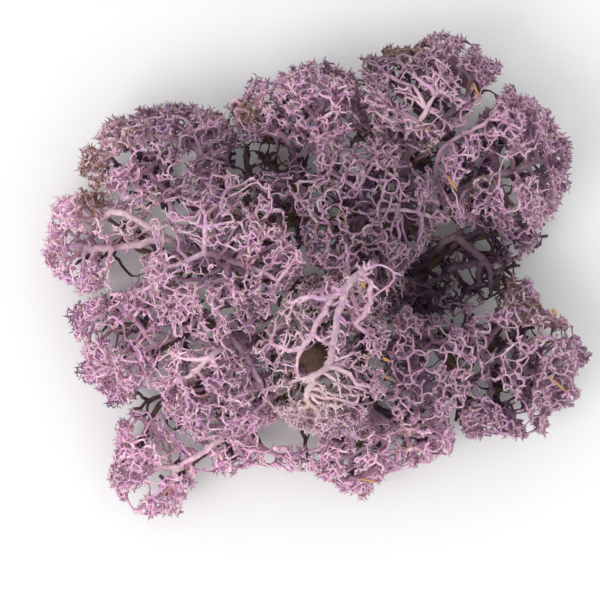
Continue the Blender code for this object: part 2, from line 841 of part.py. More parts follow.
def main():
    for made in list(bpy.data.objects):
        bpy.data.objects.remove(made)
    clump = bpy.data.collections.new("reindeer_moss_clump")
    loose = bpy.data.collections.new("loose")
    guides = bpy.data.collections.new("guides")
    for collection in (clump, loose, guides):
        bpy.context.scene.collection.children.link(collection)
    section = triangle_section(guides)
    grown = [grow(tuft) for tuft in TUFTS]
    stems = [main_stems(*tuft) for tuft in grown]
    sides = [side_stems(*tuft, CARRIED_BY_A_FORK) for tuft in grown]
    stump = Stem(STUMP, STUMP_RADII)
    for number, tuft in enumerate(TUFTS):
        others = sum((stems[n] + sides[n] for n in range(len(TUFTS)) if n != number), [stump])
        sides[number] = kept_clear(sides[number], others)
        make_tuft(tuft, stems[number], sides[number], section, clump, loose)
    dead = kept_clear(dead_stems(), sum(stems + sides, []))
    make_old_stems(dead, section, clump, loose)
    for made in list(guides.objects):
        bpy.data.objects.remove(made)
    bpy.data.collections.remove(loose)
    bpy.data.collections.remove(guides)


main()
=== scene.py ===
# %% [markdown]
# # A clump of reindeer moss, dyed lilac
#
# Reindeer moss is a lichen. It has no leaves and no roots, only hollow stems that fork again and
# again, thinner each time, and end in stars of short pointed fingers. Seventeen tufts of it lie
# tangled here on a net of old dead stems. Everything is in metres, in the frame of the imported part.

import math

import bpy
import numpy as np
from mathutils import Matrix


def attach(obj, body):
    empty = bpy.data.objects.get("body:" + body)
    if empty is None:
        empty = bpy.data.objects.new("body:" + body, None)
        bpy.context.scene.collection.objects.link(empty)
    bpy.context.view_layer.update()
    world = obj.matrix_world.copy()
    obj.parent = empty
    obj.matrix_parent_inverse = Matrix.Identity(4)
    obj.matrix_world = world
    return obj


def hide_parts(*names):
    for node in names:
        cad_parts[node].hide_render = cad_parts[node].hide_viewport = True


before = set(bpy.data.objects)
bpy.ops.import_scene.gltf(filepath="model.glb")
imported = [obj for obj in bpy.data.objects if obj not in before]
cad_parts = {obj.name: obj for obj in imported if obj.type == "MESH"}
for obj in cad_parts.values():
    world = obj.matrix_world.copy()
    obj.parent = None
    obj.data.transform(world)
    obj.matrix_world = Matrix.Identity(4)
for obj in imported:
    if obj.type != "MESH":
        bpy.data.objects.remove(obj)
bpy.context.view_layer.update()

# %% [markdown]
# ## Camera, floor and light
#
# The clump is seen from straight above, as if it lay on a table under a copy stand. A long lens from
# high up keeps the tall tufts from leaning outwards. The picture is 600 pixels wide and a pixel is
# 0.2 mm, so the lens is worked out from that width at the height of the tufts' crowns.

# %% Camera
MM = 0.001
PICTURE_WIDTH = 120 * MM
PICTURE_MIDDLE = (-4.04 * MM, -4.54 * MM)
CAMERA_HEIGHT = 620 * MM
CROWN_HEIGHT = 20 * MM
NEAREST, FARTHEST = 10 * MM, 10

scene = bpy.context.scene
camera = bpy.data.objects.new("camera", bpy.data.cameras.new("camera"))
camera.location = (*PICTURE_MIDDLE, CAMERA_HEIGHT)
camera.data.lens = camera.data.sensor_width * (CAMERA_HEIGHT - CROWN_HEIGHT) / PICTURE_WIDTH
camera.data.clip_start, camera.data.clip_end = NEAREST, FARTHEST
scene.collection.objects.link(camera)
scene.camera = camera
scene.view_settings.view_transform = "Standard"
print("Lens in mm:", round(camera.data.lens, 1))

# %% [markdown]
# The floor is a plain white sheet. One soft lamp stands at the front left, a little over halfway
# up, and makes the soft shadow at the back right. The rest of the light is an even white surround.

# %% Floor and lamps
FLOOR_REACH = 3.0
FLOOR_WHITE = 0.86
FLOOR_ROUGHNESS = 0.9
SURROUND = 1.0
KEY_PLACE = (-0.45, -0.36, 0.82)
KEY_SIZE = 0.5
KEY_POWER = 3.4
KEY_TINT = (1, 0.98, 0.95)
SURROUND_TINT = (0.985, 1, 1)

floor_mesh = bpy.data.meshes.new("floor")
corners = [(-FLOOR_REACH, -FLOOR_REACH, 0), (FLOOR_REACH, -FLOOR_REACH, 0)]
corners += [(FLOOR_REACH, FLOOR_REACH, 0), (-FLOOR_REACH, FLOOR_REACH, 0)]
floor_mesh.from_pydata(corners, [], [(0, 1, 2, 3)])
floor = bpy.data.objects.new("floor", floor_mesh)
scene.collection.objects.link(floor)
paper = bpy.data.materials.new("white_paper")
paper.use_nodes = True
sheet = paper.node_tree.nodes["Principled BSDF"].inputs
sheet["Base Color"].default_value = (*[FLOOR_WHITE] * 3, 1)
sheet["Roughness"].default_value = FLOOR_ROUGHNESS
floor_mesh.materials.append(paper)

world = bpy.data.worlds.new("surround")
world.use_nodes = True
surround = world.node_tree.nodes["Background"].inputs
surround["Color"].default_value = (*SURROUND_TINT, 1)
surround["Strength"].default_value = SURROUND
scene.world = world

key = bpy.data.objects.new("key", bpy.data.lights.new("key", "AREA"))
key.data.size = KEY_SIZE
key.data.energy = KEY_POWER
key.data.color = KEY_TINT
key.location = KEY_PLACE
key.rotation_euler = key.location.to_track_quat("Z", "Y").to_euler()
scene.collection.objects.link(key)
print("Lamp at", KEY_PLACE)

# %% [markdown]
# ## The plan of the tufts
#
# A tuft is told by a few thick stems and by one or more rounded heads. The first
# stem starts on the old stems. The others start from a point of an earlier one. All of it is in
# millimetres on the plan, whose origin is moved to the middle of the clump's footprint at the end.

# %% The tufts
FOOTPRINT_MIDDLE = np.array([1.441, 0.736, 0])
ROOT_HEIGHT = 3.4

# The thick stems of each tuft, as the points that they pass through
STEMS = {
    "tuft_upper_left": [
        [(-19, 13), (-20.5, 15, 12), (-22.2, 19.4, 20), (-22.4, 25.2, 24), (-23.5, 29.5, 25)],
        [(-22.4, 25.2, 24), (-29, 28.5, 22), (-36.4, 27.8, 19)],
        [(-20.5, 15, 12), (-27, 12.5, 17), (-29, 17.6, 20), (-33, 22, 19)],
    ],
    "tuft_left": [
        [
            (-22, 4), (-24, 6, 11), (-28.6, 8.2, 18.5), (-34.6, 11.8, 20.5), (-40.2, 13.8, 19),
            (-44, 12.6, 17),
        ],
        [(-28.6, 8.2, 18.5), (-36.6, 7.2, 17.5), (-43.6, 6.4, 16), (-48, 7.4, 14)],
    ],
    "tuft_left_lower": [
        [(-23, -8), (-26, -9.5, 9), (-32, -13, 14), (-38.2, -16.2, 16.5)],
        [(-32, -13, 14), (-36, -8, 14), (-40, -5, 13)],
    ],
    "tuft_bottom_left": [
        [(-6, -22), (-10, -25, 8), (-15.2, -28.6, 12), (-20, -33, 14), (-27, -37.6, 15)],
        [(-15.2, -28.6, 12), (-13.2, -31.4, 11), (-7.4, -35.4, 8), (1, -34.2, 7)],
    ],
    "tuft_centre_left": [
        [(-14, 2), (-15, 3, 14), (-16.5, 4.6, 27), (-21.2, 4.8, 34), (-27.8, 2.8, 33)],
        [(-16.5, 4.6, 27), (-13, 3, 33), (-7, 0, 35)],
        [(-21.2, 4.8, 34), (-21.4, 8, 36), (-21, 13, 36)],
        [(-16.5, 4.6, 27), (-17.2, 0.8, 32), (-23, -1.6, 33)],
    ],
    "tuft_lower_left": [
        [(-13, -12), (-13, -11.5, 14), (-16, -11.4, 24), (-20.6, -15.2, 29), (-26.6, -15.2, 28)],
        [(-20.6, -15.2, 29), (-25.4, -19.2, 27)],
        [(-16, -11.4, 24), (-12, -17, 26), (-9, -23, 24)],
    ],
    "tuft_centre": [
        [
            (9.5, 1), (11, 2, 14), (12, 3.4, 28), (11, 3.2, 37), (9.2, 1.6, 41.4), (6.6, -1, 43),
            (5.2, -5, 43.2), (4.3, -9.4, 42.6), (3.7, -13.2, 41.4), (2.6, -16.6, 39.8),
            (0, -18.6, 38.4), (-2.8, -19.2, 37),
        ],
        [(6.6, -1, 43), (3, -3.3, 42.6), (-0.4, -3.2, 41.6), (-4, -4.4, 40)],
        [(9.2, 1.6, 41.4), (10.8, -0.6, 42), (11, -3.2, 41.6), (10, -6, 41), (8.2, -8.4, 40)],
        [
            (9.2, 1.6, 41.4), (12.2, 2.9, 41), (15.2, 2, 40), (15.4, -0.2, 40), (13.2, -2, 40.6),
            (11, -3.2, 41.6),
        ],
        [
            (3, -3.3, 42.6), (1.8, -6.2, 42.2), (-0.3, -10.8, 41), (-2.2, -13.4, 39.8),
            (-3.4, -16.4, 38.4), (-2.8, -19.2, 37),
        ],
        [(-0.3, -10.8, 41), (1.7, -11.6, 41.2), (3.7, -13.2, 41.4)],
        [(-2.2, -13.4, 39.8), (-5.6, -13.4, 38.4), (-8.2, -12.2, 36.6)],
        [(0, -18.6, 38.4), (-0.4, -21, 37.8), (-1.4, -23, 36.6)],
    ],
    "tuft_top_centre": [
        [(-2, 17), (-3, 21, 11), (-5, 28, 18), (-11.4, 33.2, 20), (-15.6, 36.4, 17)],
        [(-5, 28, 18), (0, 33, 20), (5, 37, 18)],
    ],
    "tuft_top_right": [
        [(18, 20), (18.6, 22, 12), (19.4, 26, 23), (20.6, 31, 31.5), (23.8, 36.2, 33.6)],
        [(19.4, 26, 23), (26, 32, 24), (31, 38, 23)],
    ],
    "tuft_right_upper": [
        [(27, 14), (26.6, 16.2, 12), (24.6, 20.2, 23), (25, 25.2, 28), (29.4, 29, 29)],
        [(26.6, 16.2, 12), (33, 20, 19), (40, 22, 21), (45, 24, 19)],
    ],
    "tuft_right": [
        [(29, 7.5), (32.5, 9.5, 8), (36, 12, 11), (40, 12.5, 12)],
    ],
    "tuft_centre_net": [
        [(9, 11), (10, 12, 15), (11, 13, 27), (12.6, 13.6, 35), (20.2, 13.4, 35.5)],
        [(11, 13, 27), (9, 18, 34), (11.4, 22.6, 36)],
        [(9, 18, 34), (3.5, 21, 33)],
        [(11, 13, 27), (6.5, 11.4, 33), (1, 11.4, 32)],
    ],
    "tuft_lower_right": [
        [(25, -12), (28, -13.5, 10), (34, -15, 14), (40, -17, 16), (46, -19, 15)],
        [(34, -15, 14), (38, -9, 16), (44, -6, 14)],
        [(34, -15, 14), (36, -22, 15)],
    ],
    "tuft_bottom_centre": [
        [(11, -24), (12, -26.5, 10), (14, -31, 15), (15, -36, 15)],
        [(12, -26.5, 10), (18.5, -31, 12), (20.5, -37, 10)],
    ],
    "tuft_centre_right": [
        [
            (23, 3), (24.6, 6, 12), (27.6, 8.8, 20), (31, 7.4, 22.5), (34, 4, 22.5), (35.4, 1, 20.5),
            (35.8, -3, 17),
        ],
        [(34, 4, 22.5), (31.6, 3.4, 20.5), (28.6, 2.8, 18.5), (26, 1, 17)],
        [(34, 4, 22.5), (33.2, 1.6, 20), (33, -0.6, 18), (31, -1.6, 17)],
    ],
    "tuft_mid_right": [
        [(18, -13), (19, -14, 14), (20, -16, 22), (22, -20, 26)],
        [(20, -16, 22), (24, -12, 25)],
    ],
    "tuft_upper_mid": [
        [(-7, 12), (-7, 14, 14), (-7, 18, 24), (-5, 21, 29)],
    ],
}

# The heads of each tuft, as their centres and radii
HEADS = {
    "tuft_upper_left": [((-30, 24.5, 16), (16.5, 11.5, 13))],
    "tuft_left": [((-45, 8, 12), (10, 11, 11)), ((-37, 12, 13), (10, 7, 10))],
    "tuft_left_lower": [((-37.5, -12, 11), (12, 12.5, 10.5))],
    "tuft_bottom_left": [
        ((-32.5, -37.5, 9.5), (10.5, 12, 9)),
        ((-16, -33, 9), (11, 6, 6.5)),
        ((-4, -35.5, 6.5), (6, 3.5, 4.5)),
    ],
    "tuft_centre_left": [((-18, 3, 24), (15.5, 16.5, 15))],
    "tuft_lower_left": [((-18, -20, 17), (14, 13, 13))],
    "tuft_centre": [((2, -15, 26), (13.5, 16, 14))],
    "tuft_top_centre": [((0, 32.5, 17), (15.5, 11.5, 13))],
    "tuft_top_right": [((23, 36.5, 19), (14.5, 14, 15))],
    "tuft_right_upper": [((37.5, 24, 18), (15.5, 15, 14.5))],
    "tuft_right": [((37.5, 11, 9.5), (9, 7.5, 8))],
    "tuft_centre_net": [((11, 13.5, 24), (14.5, 14.5, 15))],
    "tuft_lower_right": [((39.5, -17, 13.5), (16, 16, 12.5))],
    "tuft_bottom_centre": [((8, -34, 12), (8, 10, 11)), ((19, -28, 13), (10, 9, 11.5))],
    "tuft_centre_right": [((25, -0.5, 15), (12.5, 9, 11))],
    "tuft_mid_right": [((21, -17, 22), (11, 11, 13))],
    "tuft_upper_mid": [((-7, 19, 20), (9.5, 9, 11))],
}
ALL_HEADS = [head for heads in HEADS.values() for head in heads]
FIRST_SEED = 11
SEEDS = {name: seed for seed, name in enumerate(STEMS, FIRST_SEED)}
print("Tufts:", len(STEMS), "heads:", len(ALL_HEADS))

# %% [markdown]
# ## Where the fingers end
#
# Each head is filled with evenly spaced places for the tips, most of them near its surface, because
# that is where the living part of the lichen is. A place that falls in a neighbouring head or over
# a thick stem is dropped, so the tufts meet along clear seams and the thick stems stay bare.

# %% The places of the tips
TINY = 1e-12
WHORL_SPACING = 1.75
LOWEST_TIP = 1.4
SEAM_BETWEEN_TUFTS = 0.3
BARE_OVER_STEM = {"tuft_centre": 2.0, "tuft_left": 2.0, "tuft_centre_right": 2.2}
BARE_OVER_OTHERS = 0.8
SHELL_INSIDE = 0.82
CORE_INSIDE = 0.30
CORE_SHARE = 0.12
LATTICE_SHIFT = 0.30
LATTICE_MARGIN = (1.3, 1.3, 1)
OPEN_TO_THE_ROOT = 0.55
CUSHION = 2.8
MERGE = 0.25
WAVE_SEED = 5
WAVE_COUNT = 6
WAVE_GAIN = 1.6
WAVE_DEPTH = 0.15
WAVE_SHIFT = 0.35
WAVE_LENGTH = 10.0

# Dark hollows in the heads, open above the height of their middle, with their reach in plan
HOLLOWS = [
    ((-0.2, -15, 22), (2.6, 2.9)),
    ((13.2, 0.4, 26), (1.9, 1.9)),
    ((-12.5, 24.4, 12), (4.5, 2.6)),
    ((22, -3, 12), (3.4, 3.6)),
    ((-7, 23.6, 14), (2.4, 2)),
    ((19, 9, 20), (3, 2)),
]

# Places in plan where no stem lies, so that the surface shows between the tufts
CLEARINGS = [
    ((-38, 1.6), (2.8, 3.4)),
    ((-33.6, -25), (2.8, 3.4)),
    ((-6.5, -31.2), (5, 2)),
    ((30.5, 4.7), (1.5, 1.2)),
    ((31.4, 1), (1.9, 1.8)),
    ((34.8, 7.2), (2.4, 2.4)),
]


def three(point):
    """A point as an array, at the height of a root where it has none of its own."""
    return np.array(point if len(point) == 3 else (*point, ROOT_HEIGHT), float)


def head_depth(points, head):
    """How deep points lie in a head, 0 in its middle and 1 on its surface.

    depth = (plan ** CUSHION + height ** CUSHION) ** (1 / CUSHION), where plan and height are the
    distances from the middle as shares of the radii. With CUSHION over 2 the top is flatter.
    """
    off = (points - head[0]) / head[1]
    return (np.hypot(off[:, 0], off[:, 1]) ** CUSHION + np.abs(off[:, 2]) ** CUSHION) ** (1 / CUSHION)


def waves(points):
    """Slow waves through space, about -1 to 1: WAVE_GAIN * the mean of sin(way . point + phase)."""
    rng = np.random.default_rng(WAVE_SEED)
    ways = rng.normal(size=(WAVE_COUNT, 3))
    ways *= math.tau / WAVE_LENGTH / np.linalg.norm(ways, axis=1)[:, None]
    return np.sin(points @ ways.T + rng.uniform(0, math.tau, WAVE_COUNT)).mean(axis=1) * WAVE_GAIN


def merged_depth(points):
    """How deep points lie in the whole clump: -MERGE * log(sum of exp(-depth / MERGE)) over all heads.

    Far from other heads it is the depth in the nearest. Between two heads it is less, so the valleys
    fill. Slow waves make it deeper in some places than in others.
    """
    near = sum(np.exp(-head_depth(points, head) / MERGE) for head in ALL_HEADS)
    return -MERGE * np.log(near) * (1 + WAVE_DEPTH * (waves(points) + WAVE_SHIFT))


def plan_depths(points):
    """How deep points lie in each head's outline seen from above, where the heights don't count."""
    return np.array([np.hypot(*((points[:, :2] - head[0][:2]) / head[1][:2]).T) for head in ALL_HEADS])


def plan_depth(points):
    """The same for all the outlines together."""
    return -MERGE * np.log(np.exp(-plan_depths(points) / MERGE).sum(axis=0))


def within(points, middle, reach):
    """Which points lie in an ellipse in plan."""
    return (((points[:, :2] - middle[:2]) / reach) ** 2).sum(axis=1) < 1


def distance_to_line(points, start, end):
    """How far each point lies from a stretch of stem, seen from above, and the stem's height there."""
    way = end - start
    share = np.clip(((points[:, :2] - start[:2]) @ way[:2]) / max(way[:2] @ way[:2], TINY), 0, 1)
    nearest = start + share[:, None] * way
    return np.hypot(*(points - nearest)[:, :2].T), nearest[:, 2]


def lattice(head, rng):
    """Evenly spaced points over a head's box, every other layer over the gaps of the last.

    Two cubic lattices stand inside one another, and each point is moved by a small random step.
    """
    reach = np.array(head[1]) * LATTICE_MARGIN
    low, high = np.array(head[0]) - reach, np.array(head[0]) + reach
    cell = WHORL_SPACING * 2 / math.sqrt(3)
    layers = []
    for shift in (0.0, 0.5):
        axes = [np.arange(a, b + cell, cell) + shift * cell for a, b in zip(low, high)]
        layers.append(np.stack(np.meshgrid(*axes, indexing="ij"), axis=-1).reshape(-1, 3))
    points = np.concatenate(layers)
    return points + rng.uniform(-1, 1, points.shape) * LATTICE_SHIFT * cell


def tip_places(name, rng):
    """Where the finest stems of a tuft end."""
    root = three(STEMS[name][0][0])
    kept = []
    for head in HEADS[name]:
        points = lattice(head, rng)
        depth = head_depth(points, head)
        merged = merged_depth(points)
        sparse = (merged > CORE_INSIDE) & (rng.random(len(points)) < CORE_SHARE)
        keep = ((merged > SHELL_INSIDE) | sparse) & (merged < 1) & (points[:, 2] > LOWEST_TIP)
        for other in ALL_HEADS:
            if other is not head:
                keep &= (head_depth(points, other) - depth) * min(head[1]) > SEAM_BETWEEN_TUFTS
        for other_name, stems in STEMS.items():
            bare = BARE_OVER_STEM.get(other_name, BARE_OVER_OTHERS)
            for stem in stems:
                for start, end in zip(stem, stem[1:]):
                    off, height = distance_to_line(points, three(start), three(end))
                    keep &= (off > bare) | (points[:, 2] < height - bare)
        for middle, reach in HOLLOWS:
            keep &= ~within(points, middle, reach) | (points[:, 2] < middle[2])
        for middle, reach in CLEARINGS:
            keep &= ~within(points, middle, reach)
        inward = (root - head[0]) / np.linalg.norm(root - head[0])
        keep &= ((points - head[0]) / head[1]) @ inward < OPEN_TO_THE_ROOT
        kept.append(points[keep])
    return np.concatenate(kept)


example = tip_places("tuft_centre", np.random.default_rng(SEEDS["tuft_centre"]))
print("Tips of tuft_centre:", len(example))

# %% [markdown]
# ## How a tuft forks
#
# A stem that has to reach many tips parts them in two, or sometimes three, and grows a fork for
# each group. A fork stands back from its tips by their spread, so that its stems open like a fan.
# This is done again until each group is a single tip.

# %% Forks
THIRD_STEM = 0.35
UNEVEN_SPLIT = (0.36, 0.64)
CROTCH = 1.15
SHORTEST_STEM = 0.30
WANDER = 0.09
GATHER = 0.07
FAVOUR_THE_MIDDLE = 0.35
UPRIGHT_ROOT = 2.5
STEPS_ALONG = 2


class Tree:
    """The forks of one tuft. Each has a place and the fork that it grows from, -1 for none.

    found gives the forks along the thick stems by their place, so that two stems can share one.
    """

    def __init__(self):
        self.places, self.parents, self.found = [], [], {}

    def add(self, place, parent):
        self.places.append(np.asarray(place, float))
        self.parents.append(parent)
        return len(self.places) - 1

    def route(self, places, joined=True):
        """A line of forks, each grown from the last if joined. One that is there is used again."""
        route = []
        for place in places:
            key = tuple(place.round(3))
            if key not in self.found:
                self.found[key] = self.add(place, route[-1] if joined and route else -1)
            route.append(self.found[key])
        return route

    def weights(self):
        """How many tips each fork carries. A fork always comes after the one that it grows from."""
        weights = np.zeros(len(self.parents), int)
        for node in range(len(self.parents) - 1, -1, -1):
            weights[node] = max(weights[node], 1)
            if self.parents[node] >= 0:
                weights[self.parents[node]] += weights[node]
        return weights


def halves(tips, rng):
    """Parts some tips across the direction in which they lie widest, off the middle by a random share."""
    steps = (-1, 0, 1)
    ways = np.array([(x, y, z) for x in steps for y in steps for z in steps if (x, y, z) > (0, 0, 0)])
    along = tips @ (ways / np.linalg.norm(ways, axis=1)[:, None]).T
    along = along[:, along.var(axis=0).argmax()]
    cut = int(round(len(tips) * rng.uniform(*UNEVEN_SPLIT)))
    cut = min(max(cut, 1), len(tips) - 1)
    order = np.argsort(along, kind="stable")
    return [tips[order[:cut]], tips[order[cut:]]]


def split(tips, rng):
    """Two groups of tips, or sometimes three."""
    groups = halves(tips, rng)
    if rng.random() < THIRD_STEM and len(groups[0]) > 1:
        groups = halves(groups[0], rng) + groups[1:]
    return groups


def fork(tree, start, tips, rng):
    """Forks on from a place until each tip is reached.

    fork = start + (middle of the tips - start) * (length - CROTCH * spread) / length, moved a little.
    """
    work = [(start, tips)]
    while work:
        parent, tips = work.pop()
        if len(tips) == 1:
            tree.add(tips[0], parent)
            continue
        for group in split(tips, rng):
            middle = group.mean(axis=0)
            group = middle + (group - middle) * (1 - GATHER)
            if len(group) == 1:
                tree.add(group[0], parent)
                continue
            spread = math.sqrt(((group - middle) ** 2).sum(axis=1).mean())
            way = middle - tree.places[parent]
            length = np.linalg.norm(way)
            reach = max(length - CROTCH * spread, SHORTEST_STEM * length)
            place = tree.places[parent] + way / length * reach + rng.normal(size=3) * WANDER * reach
            place[2] = max(place[2], LOWEST_TIP)
            work.append((tree.add(place, parent), group))


def fork_from(tree, stations, nearest, tips, rng):
    """Forks on from each station to the tips that it is nearest to."""
    for number, station in enumerate(stations):
        if (nearest == number).any():
            fork(tree, station, tips[nearest == number], rng)


def smooth(points, steps):
    """A Catmull-Rom curve through the points, with a number of steps between each two."""
    ends = np.vstack([2 * points[0] - points[1], points, 2 * points[-1] - points[-2]])
    t = (np.arange(steps) / steps)[None, :, None]
    a, b, c, d = (ends[i : len(ends) - 3 + i][:, None] for i in range(4))
    curve = (2 * b + (c - a) * t + (2 * a - 5 * b + 4 * c - d) * t**2 + (3 * b - a - 3 * c + d) * t**3) / 2
    return np.vstack([curve.reshape(-1, 3), points[-1:]])


def grow(name):
    """A tuft's forks, and those along each of its thick stems. Each tip joins the nearest of them."""
    rng = np.random.default_rng(SEEDS[name])
    tree, routes = Tree(), []
    for stem in STEMS[name]:
        points = [three(point) for point in stem]
        if not routes:
            points.insert(1, points[0] + (0, 0, UPRIGHT_ROOT))
        routes.append(tree.route(smooth(np.array(points), STEPS_ALONG)))
    stations = sorted(set(sum(routes, [])) - {routes[0][0]})
    tips = tip_places(name, rng)
    middle = np.mean([head[0] for head in HEADS[name]], axis=0)
    places = np.array([tree.places[station] for station in stations])
    away = np.linalg.norm(tips[:, None] - places[None], axis=2)
    away += FAVOUR_THE_MIDDLE * np.linalg.norm(places - middle, axis=1)[None]
    fork_from(tree, stations, away.argmin(axis=1), tips, rng)
    return tree, routes


grown = {name: grow(name) for name in STEMS}
print("Forks and tips:", sum(len(tree.places) for tree, _ in grown.values()))

# %% [markdown]
# ## Stems as tubes
#
# Thousands of stems would be slow to draw one by one. Here every stem with the same number of rings
# is drawn at once: the paths are one array, and a ring of a few corners is carried along all of
# them together. A flat cap or a cone closes each end, so that no open edge is left anywhere. Every
# corner carries marks that the material reads, such as how near a tip or how deep inside it lies.

# %% Tubes along many paths
# Each set of tubes is flattened FLOOR_STEP above the last, so that no two undersides lie in one plane
FLOOR_TOUCH = 0.1
FLOOR_STEP = 0.004
RIM_FROM = 0.72
PATCH_EDGE = 1.3

# Patches in plan, with their reach and strength: dried out and brown, dark (partly deep in the dye and partly
# painted shade over the shaded recesses and tufts), and pale
PATCHES = {
    "dry": [
        ((-44.5, 19), (4.5, 8), 1.0), ((-38, 29), (9, 4), 0.5), ((-14.5, 33.5), (5, 3.5), 0.9),
        ((17, 47), (7, 3.5), 0.9), ((34, 19), (4, 3), 0.35), ((22, 27), (3, 7), 0.4),
        ((39, -2.5), (5, 3), 0.8), ((48, -7), (8, 4), 0.5), ((19, -33), (5, 5), 0.45),
        ((8, 11), (6, 4), 0.35),
    ],
    "dark": [
        ((-18, 26.5), (13, 6), 0.75), ((-6.5, 24), (5, 4), 0.9), ((24, -2), (9, 10), 0.85),
        ((34, 3), (8, 10), 1.0), ((16, 10), (9, 8), 0.45), ((12, 44), (12, 4), 0.6),
        ((-29, 33), (12, 3), 0.5), ((-22, 18), (12, 3), 0.4), ((20, -18), (8, 10), 0.3),
    ],
    "pale": [
        ((0, -22.5), (9, 5), 1.0), ((-4, -9), (4, 8), 0.5), ((-37, 11.5), (8, 4), 0.7),
        ((21.5, 33), (3, 4), 0.6), ((-24, -15.5), (6, 3.5), 0.5),
    ],
}
RING_MARKS = ("tip", "age", "chance", "straw")
MARKS = (*RING_MARKS, "inner", "rim", *PATCHES)


def unit(vectors):
    """Vectors of length one in the same directions."""
    return vectors / (np.linalg.norm(vectors, axis=-1, keepdims=True) + TINY)


def swept(paths, radii, sides, rng, points=None):
    """The corners of tubes along many paths at once.

    corner(i, s) = path(i) + radius(i, s) * (cos(a) * across(i) + sin(a) * over(i)), with a = tau * s / sides.
    across(i) is across(i - 1) without its part along the path, and over(i) = direction(i) x across(i).
    """
    through = paths if points is None else np.concatenate([paths, points[:, None]], axis=1)
    way = unit(np.gradient(through, axis=1))
    across = np.empty_like(paths)
    side = rng.normal(size=(len(paths), 3))
    for ring in range(paths.shape[1]):
        side = unit(side - (side * way[:, ring]).sum(axis=1, keepdims=True) * way[:, ring])
        across[:, ring] = side
    over = np.cross(way[:, : paths.shape[1]], across)
    angle = math.tau * np.arange(sides)[:, None] / sides
    circle = across[:, :, None] * np.cos(angle) + over[:, :, None] * np.sin(angle)
    radii = radii if radii.ndim == 3 else radii[:, :, None]
    return (paths[:, :, None] + radii[..., None] * circle).reshape(len(paths), -1, 3)


def tube_faces(count, rings, sides, pointed):
    """The faces of so many closed tubes, by their number of corners.

    Four corners between two rings, a flat face over each open end, or a cone of triangles up to a point.
    """
    s = np.arange(sides)
    t = (s + 1) % sides
    r = np.arange(rings - 1)[:, None] * sides
    top = (rings - 1) * sides
    parts = [np.stack([r + s, r + t, r + sides + t, r + sides + s], axis=-1).reshape(-1, 4), s[None, ::-1]]
    if pointed:
        parts.append(np.stack([top + s, top + t, np.full(sides, top + sides)], axis=-1))
    else:
        parts.append(top + s[None])
    shift = (np.arange(count) * (rings * sides + pointed))[:, None, None]
    return [(part + shift).reshape(-1, part.shape[1]) for part in parts]


def inner_depth(points):
    """0 at the surface of the merged heads and outside, rising to 1 deep inside."""
    return np.clip(1 - merged_depth(points), 0, 1)


def rim_share(points):
    """0 over the heads and 1 at the clump's outline as it is seen from above."""
    return np.clip((plan_depth(points) - RIM_FROM) / (1 - RIM_FROM), 0, 1)


def patch(points, spots):
    """How strongly points lie in some patches.

    The largest of strength * (PATCH_EDGE - (distance / reach) ** 2), kept between 0 and strength.
    """
    share = np.zeros(len(points))
    for middle, reach, strength in spots:
        off = ((points[:, :2] - middle) / reach) ** 2
        share = np.maximum(share, strength * np.clip(PATCH_EDGE - off.sum(axis=1), 0, 1))
    return share


class Bundle:
    """Collects tubes, with their marks for the material, until they become one mesh."""

    def __init__(self):
        self.corners, self.faces, self.marks, self.count = [], [], [], 0

    def add(self, paths, radii, sides, rng, points=None, **marks):
        """Adds tubes, which end in points where those are given.

        A mark is one value, one for each tube as a column, or one for each ring of each tube.
        """
        count, rings = paths.shape[:2]
        if not count:
            return
        pointed = points is not None
        corners = swept(paths, radii, sides, rng, points)
        corners[..., 2] = np.maximum(corners[..., 2], FLOOR_TOUCH + FLOOR_STEP * len(self.corners))
        by_ring = [np.broadcast_to(marks.get(key, 0.0), (count, rings)) for key in RING_MARKS]
        values = np.repeat(np.stack(by_ring, axis=-1), sides, axis=1)
        if pointed:
            corners = np.concatenate([corners, points[:, None]], axis=1)
            values = np.concatenate([values, values[:, -1:]], axis=1)
        self.faces += [part + self.count for part in tube_faces(count, rings, sides, pointed)]
        self.corners.append(corners.reshape(-1, 3))
        self.marks.append(values.reshape(-1, len(RING_MARKS)))
        self.count += len(self.corners[-1])

    def add_some(self, chosen, rings, paths, radii, sides, rng, points=None, **marks):
        """Adds the chosen ones of some tubes, with a few of their rings."""
        for key, value in marks.items():
            marks[key] = np.broadcast_to(value, radii.shape)[chosen][:, rings]
        points = None if points is None else points[chosen]
        self.add(paths[chosen][:, rings], radii[chosen][:, rings], sides, rng, points, **marks)

    def triangles(self):
        """How many triangles the faces make."""
        return sum(len(part) * (part.shape[1] - 2) for part in self.faces)

    def mesh(self, name):
        """One mesh of all the tubes, in metres round the footprint's middle."""
        corners = np.concatenate(self.corners)
        mesh = bpy.data.meshes.new(name)
        mesh.vertices.add(len(corners))
        mesh.vertices.foreach_set("co", ((corners - FOOTPRINT_MIDDLE) * MM).astype(np.float32).ravel())
        loops = np.concatenate([part.ravel() for part in self.faces])
        mesh.loops.add(len(loops))
        mesh.loops.foreach_set("vertex_index", loops.astype(np.int32))
        sizes = np.concatenate([np.full(len(part), part.shape[1]) for part in self.faces])
        mesh.polygons.add(len(sizes))
        mesh.polygons.foreach_set("loop_start", (np.cumsum(sizes) - sizes).astype(np.int32))
        mesh.update(calc_edges=True)
        mesh.shade_smooth()
        by_ring = np.concatenate(self.marks).T
        by_place = [inner_depth(corners), rim_share(corners)]
        by_place += [patch(corners, spots) for spots in PATCHES.values()]
        for key, values in zip(MARKS, [*by_ring, *by_place]):
            mesh.attributes.new(key, "FLOAT", "POINT").data.foreach_set("value", values.astype(np.float32))
        return mesh


print("Marks on every corner:", MARKS)

# %% [markdown]
# ## The stems between the forks
#
# Each stretch from fork to fork is a curve that leaves a fork in the direction its stem was going,
# so a fork opens like a Y with a web in its crotch, not like sticks glued together. A stem is
# stouter where it leaves the fork and again just before the next.

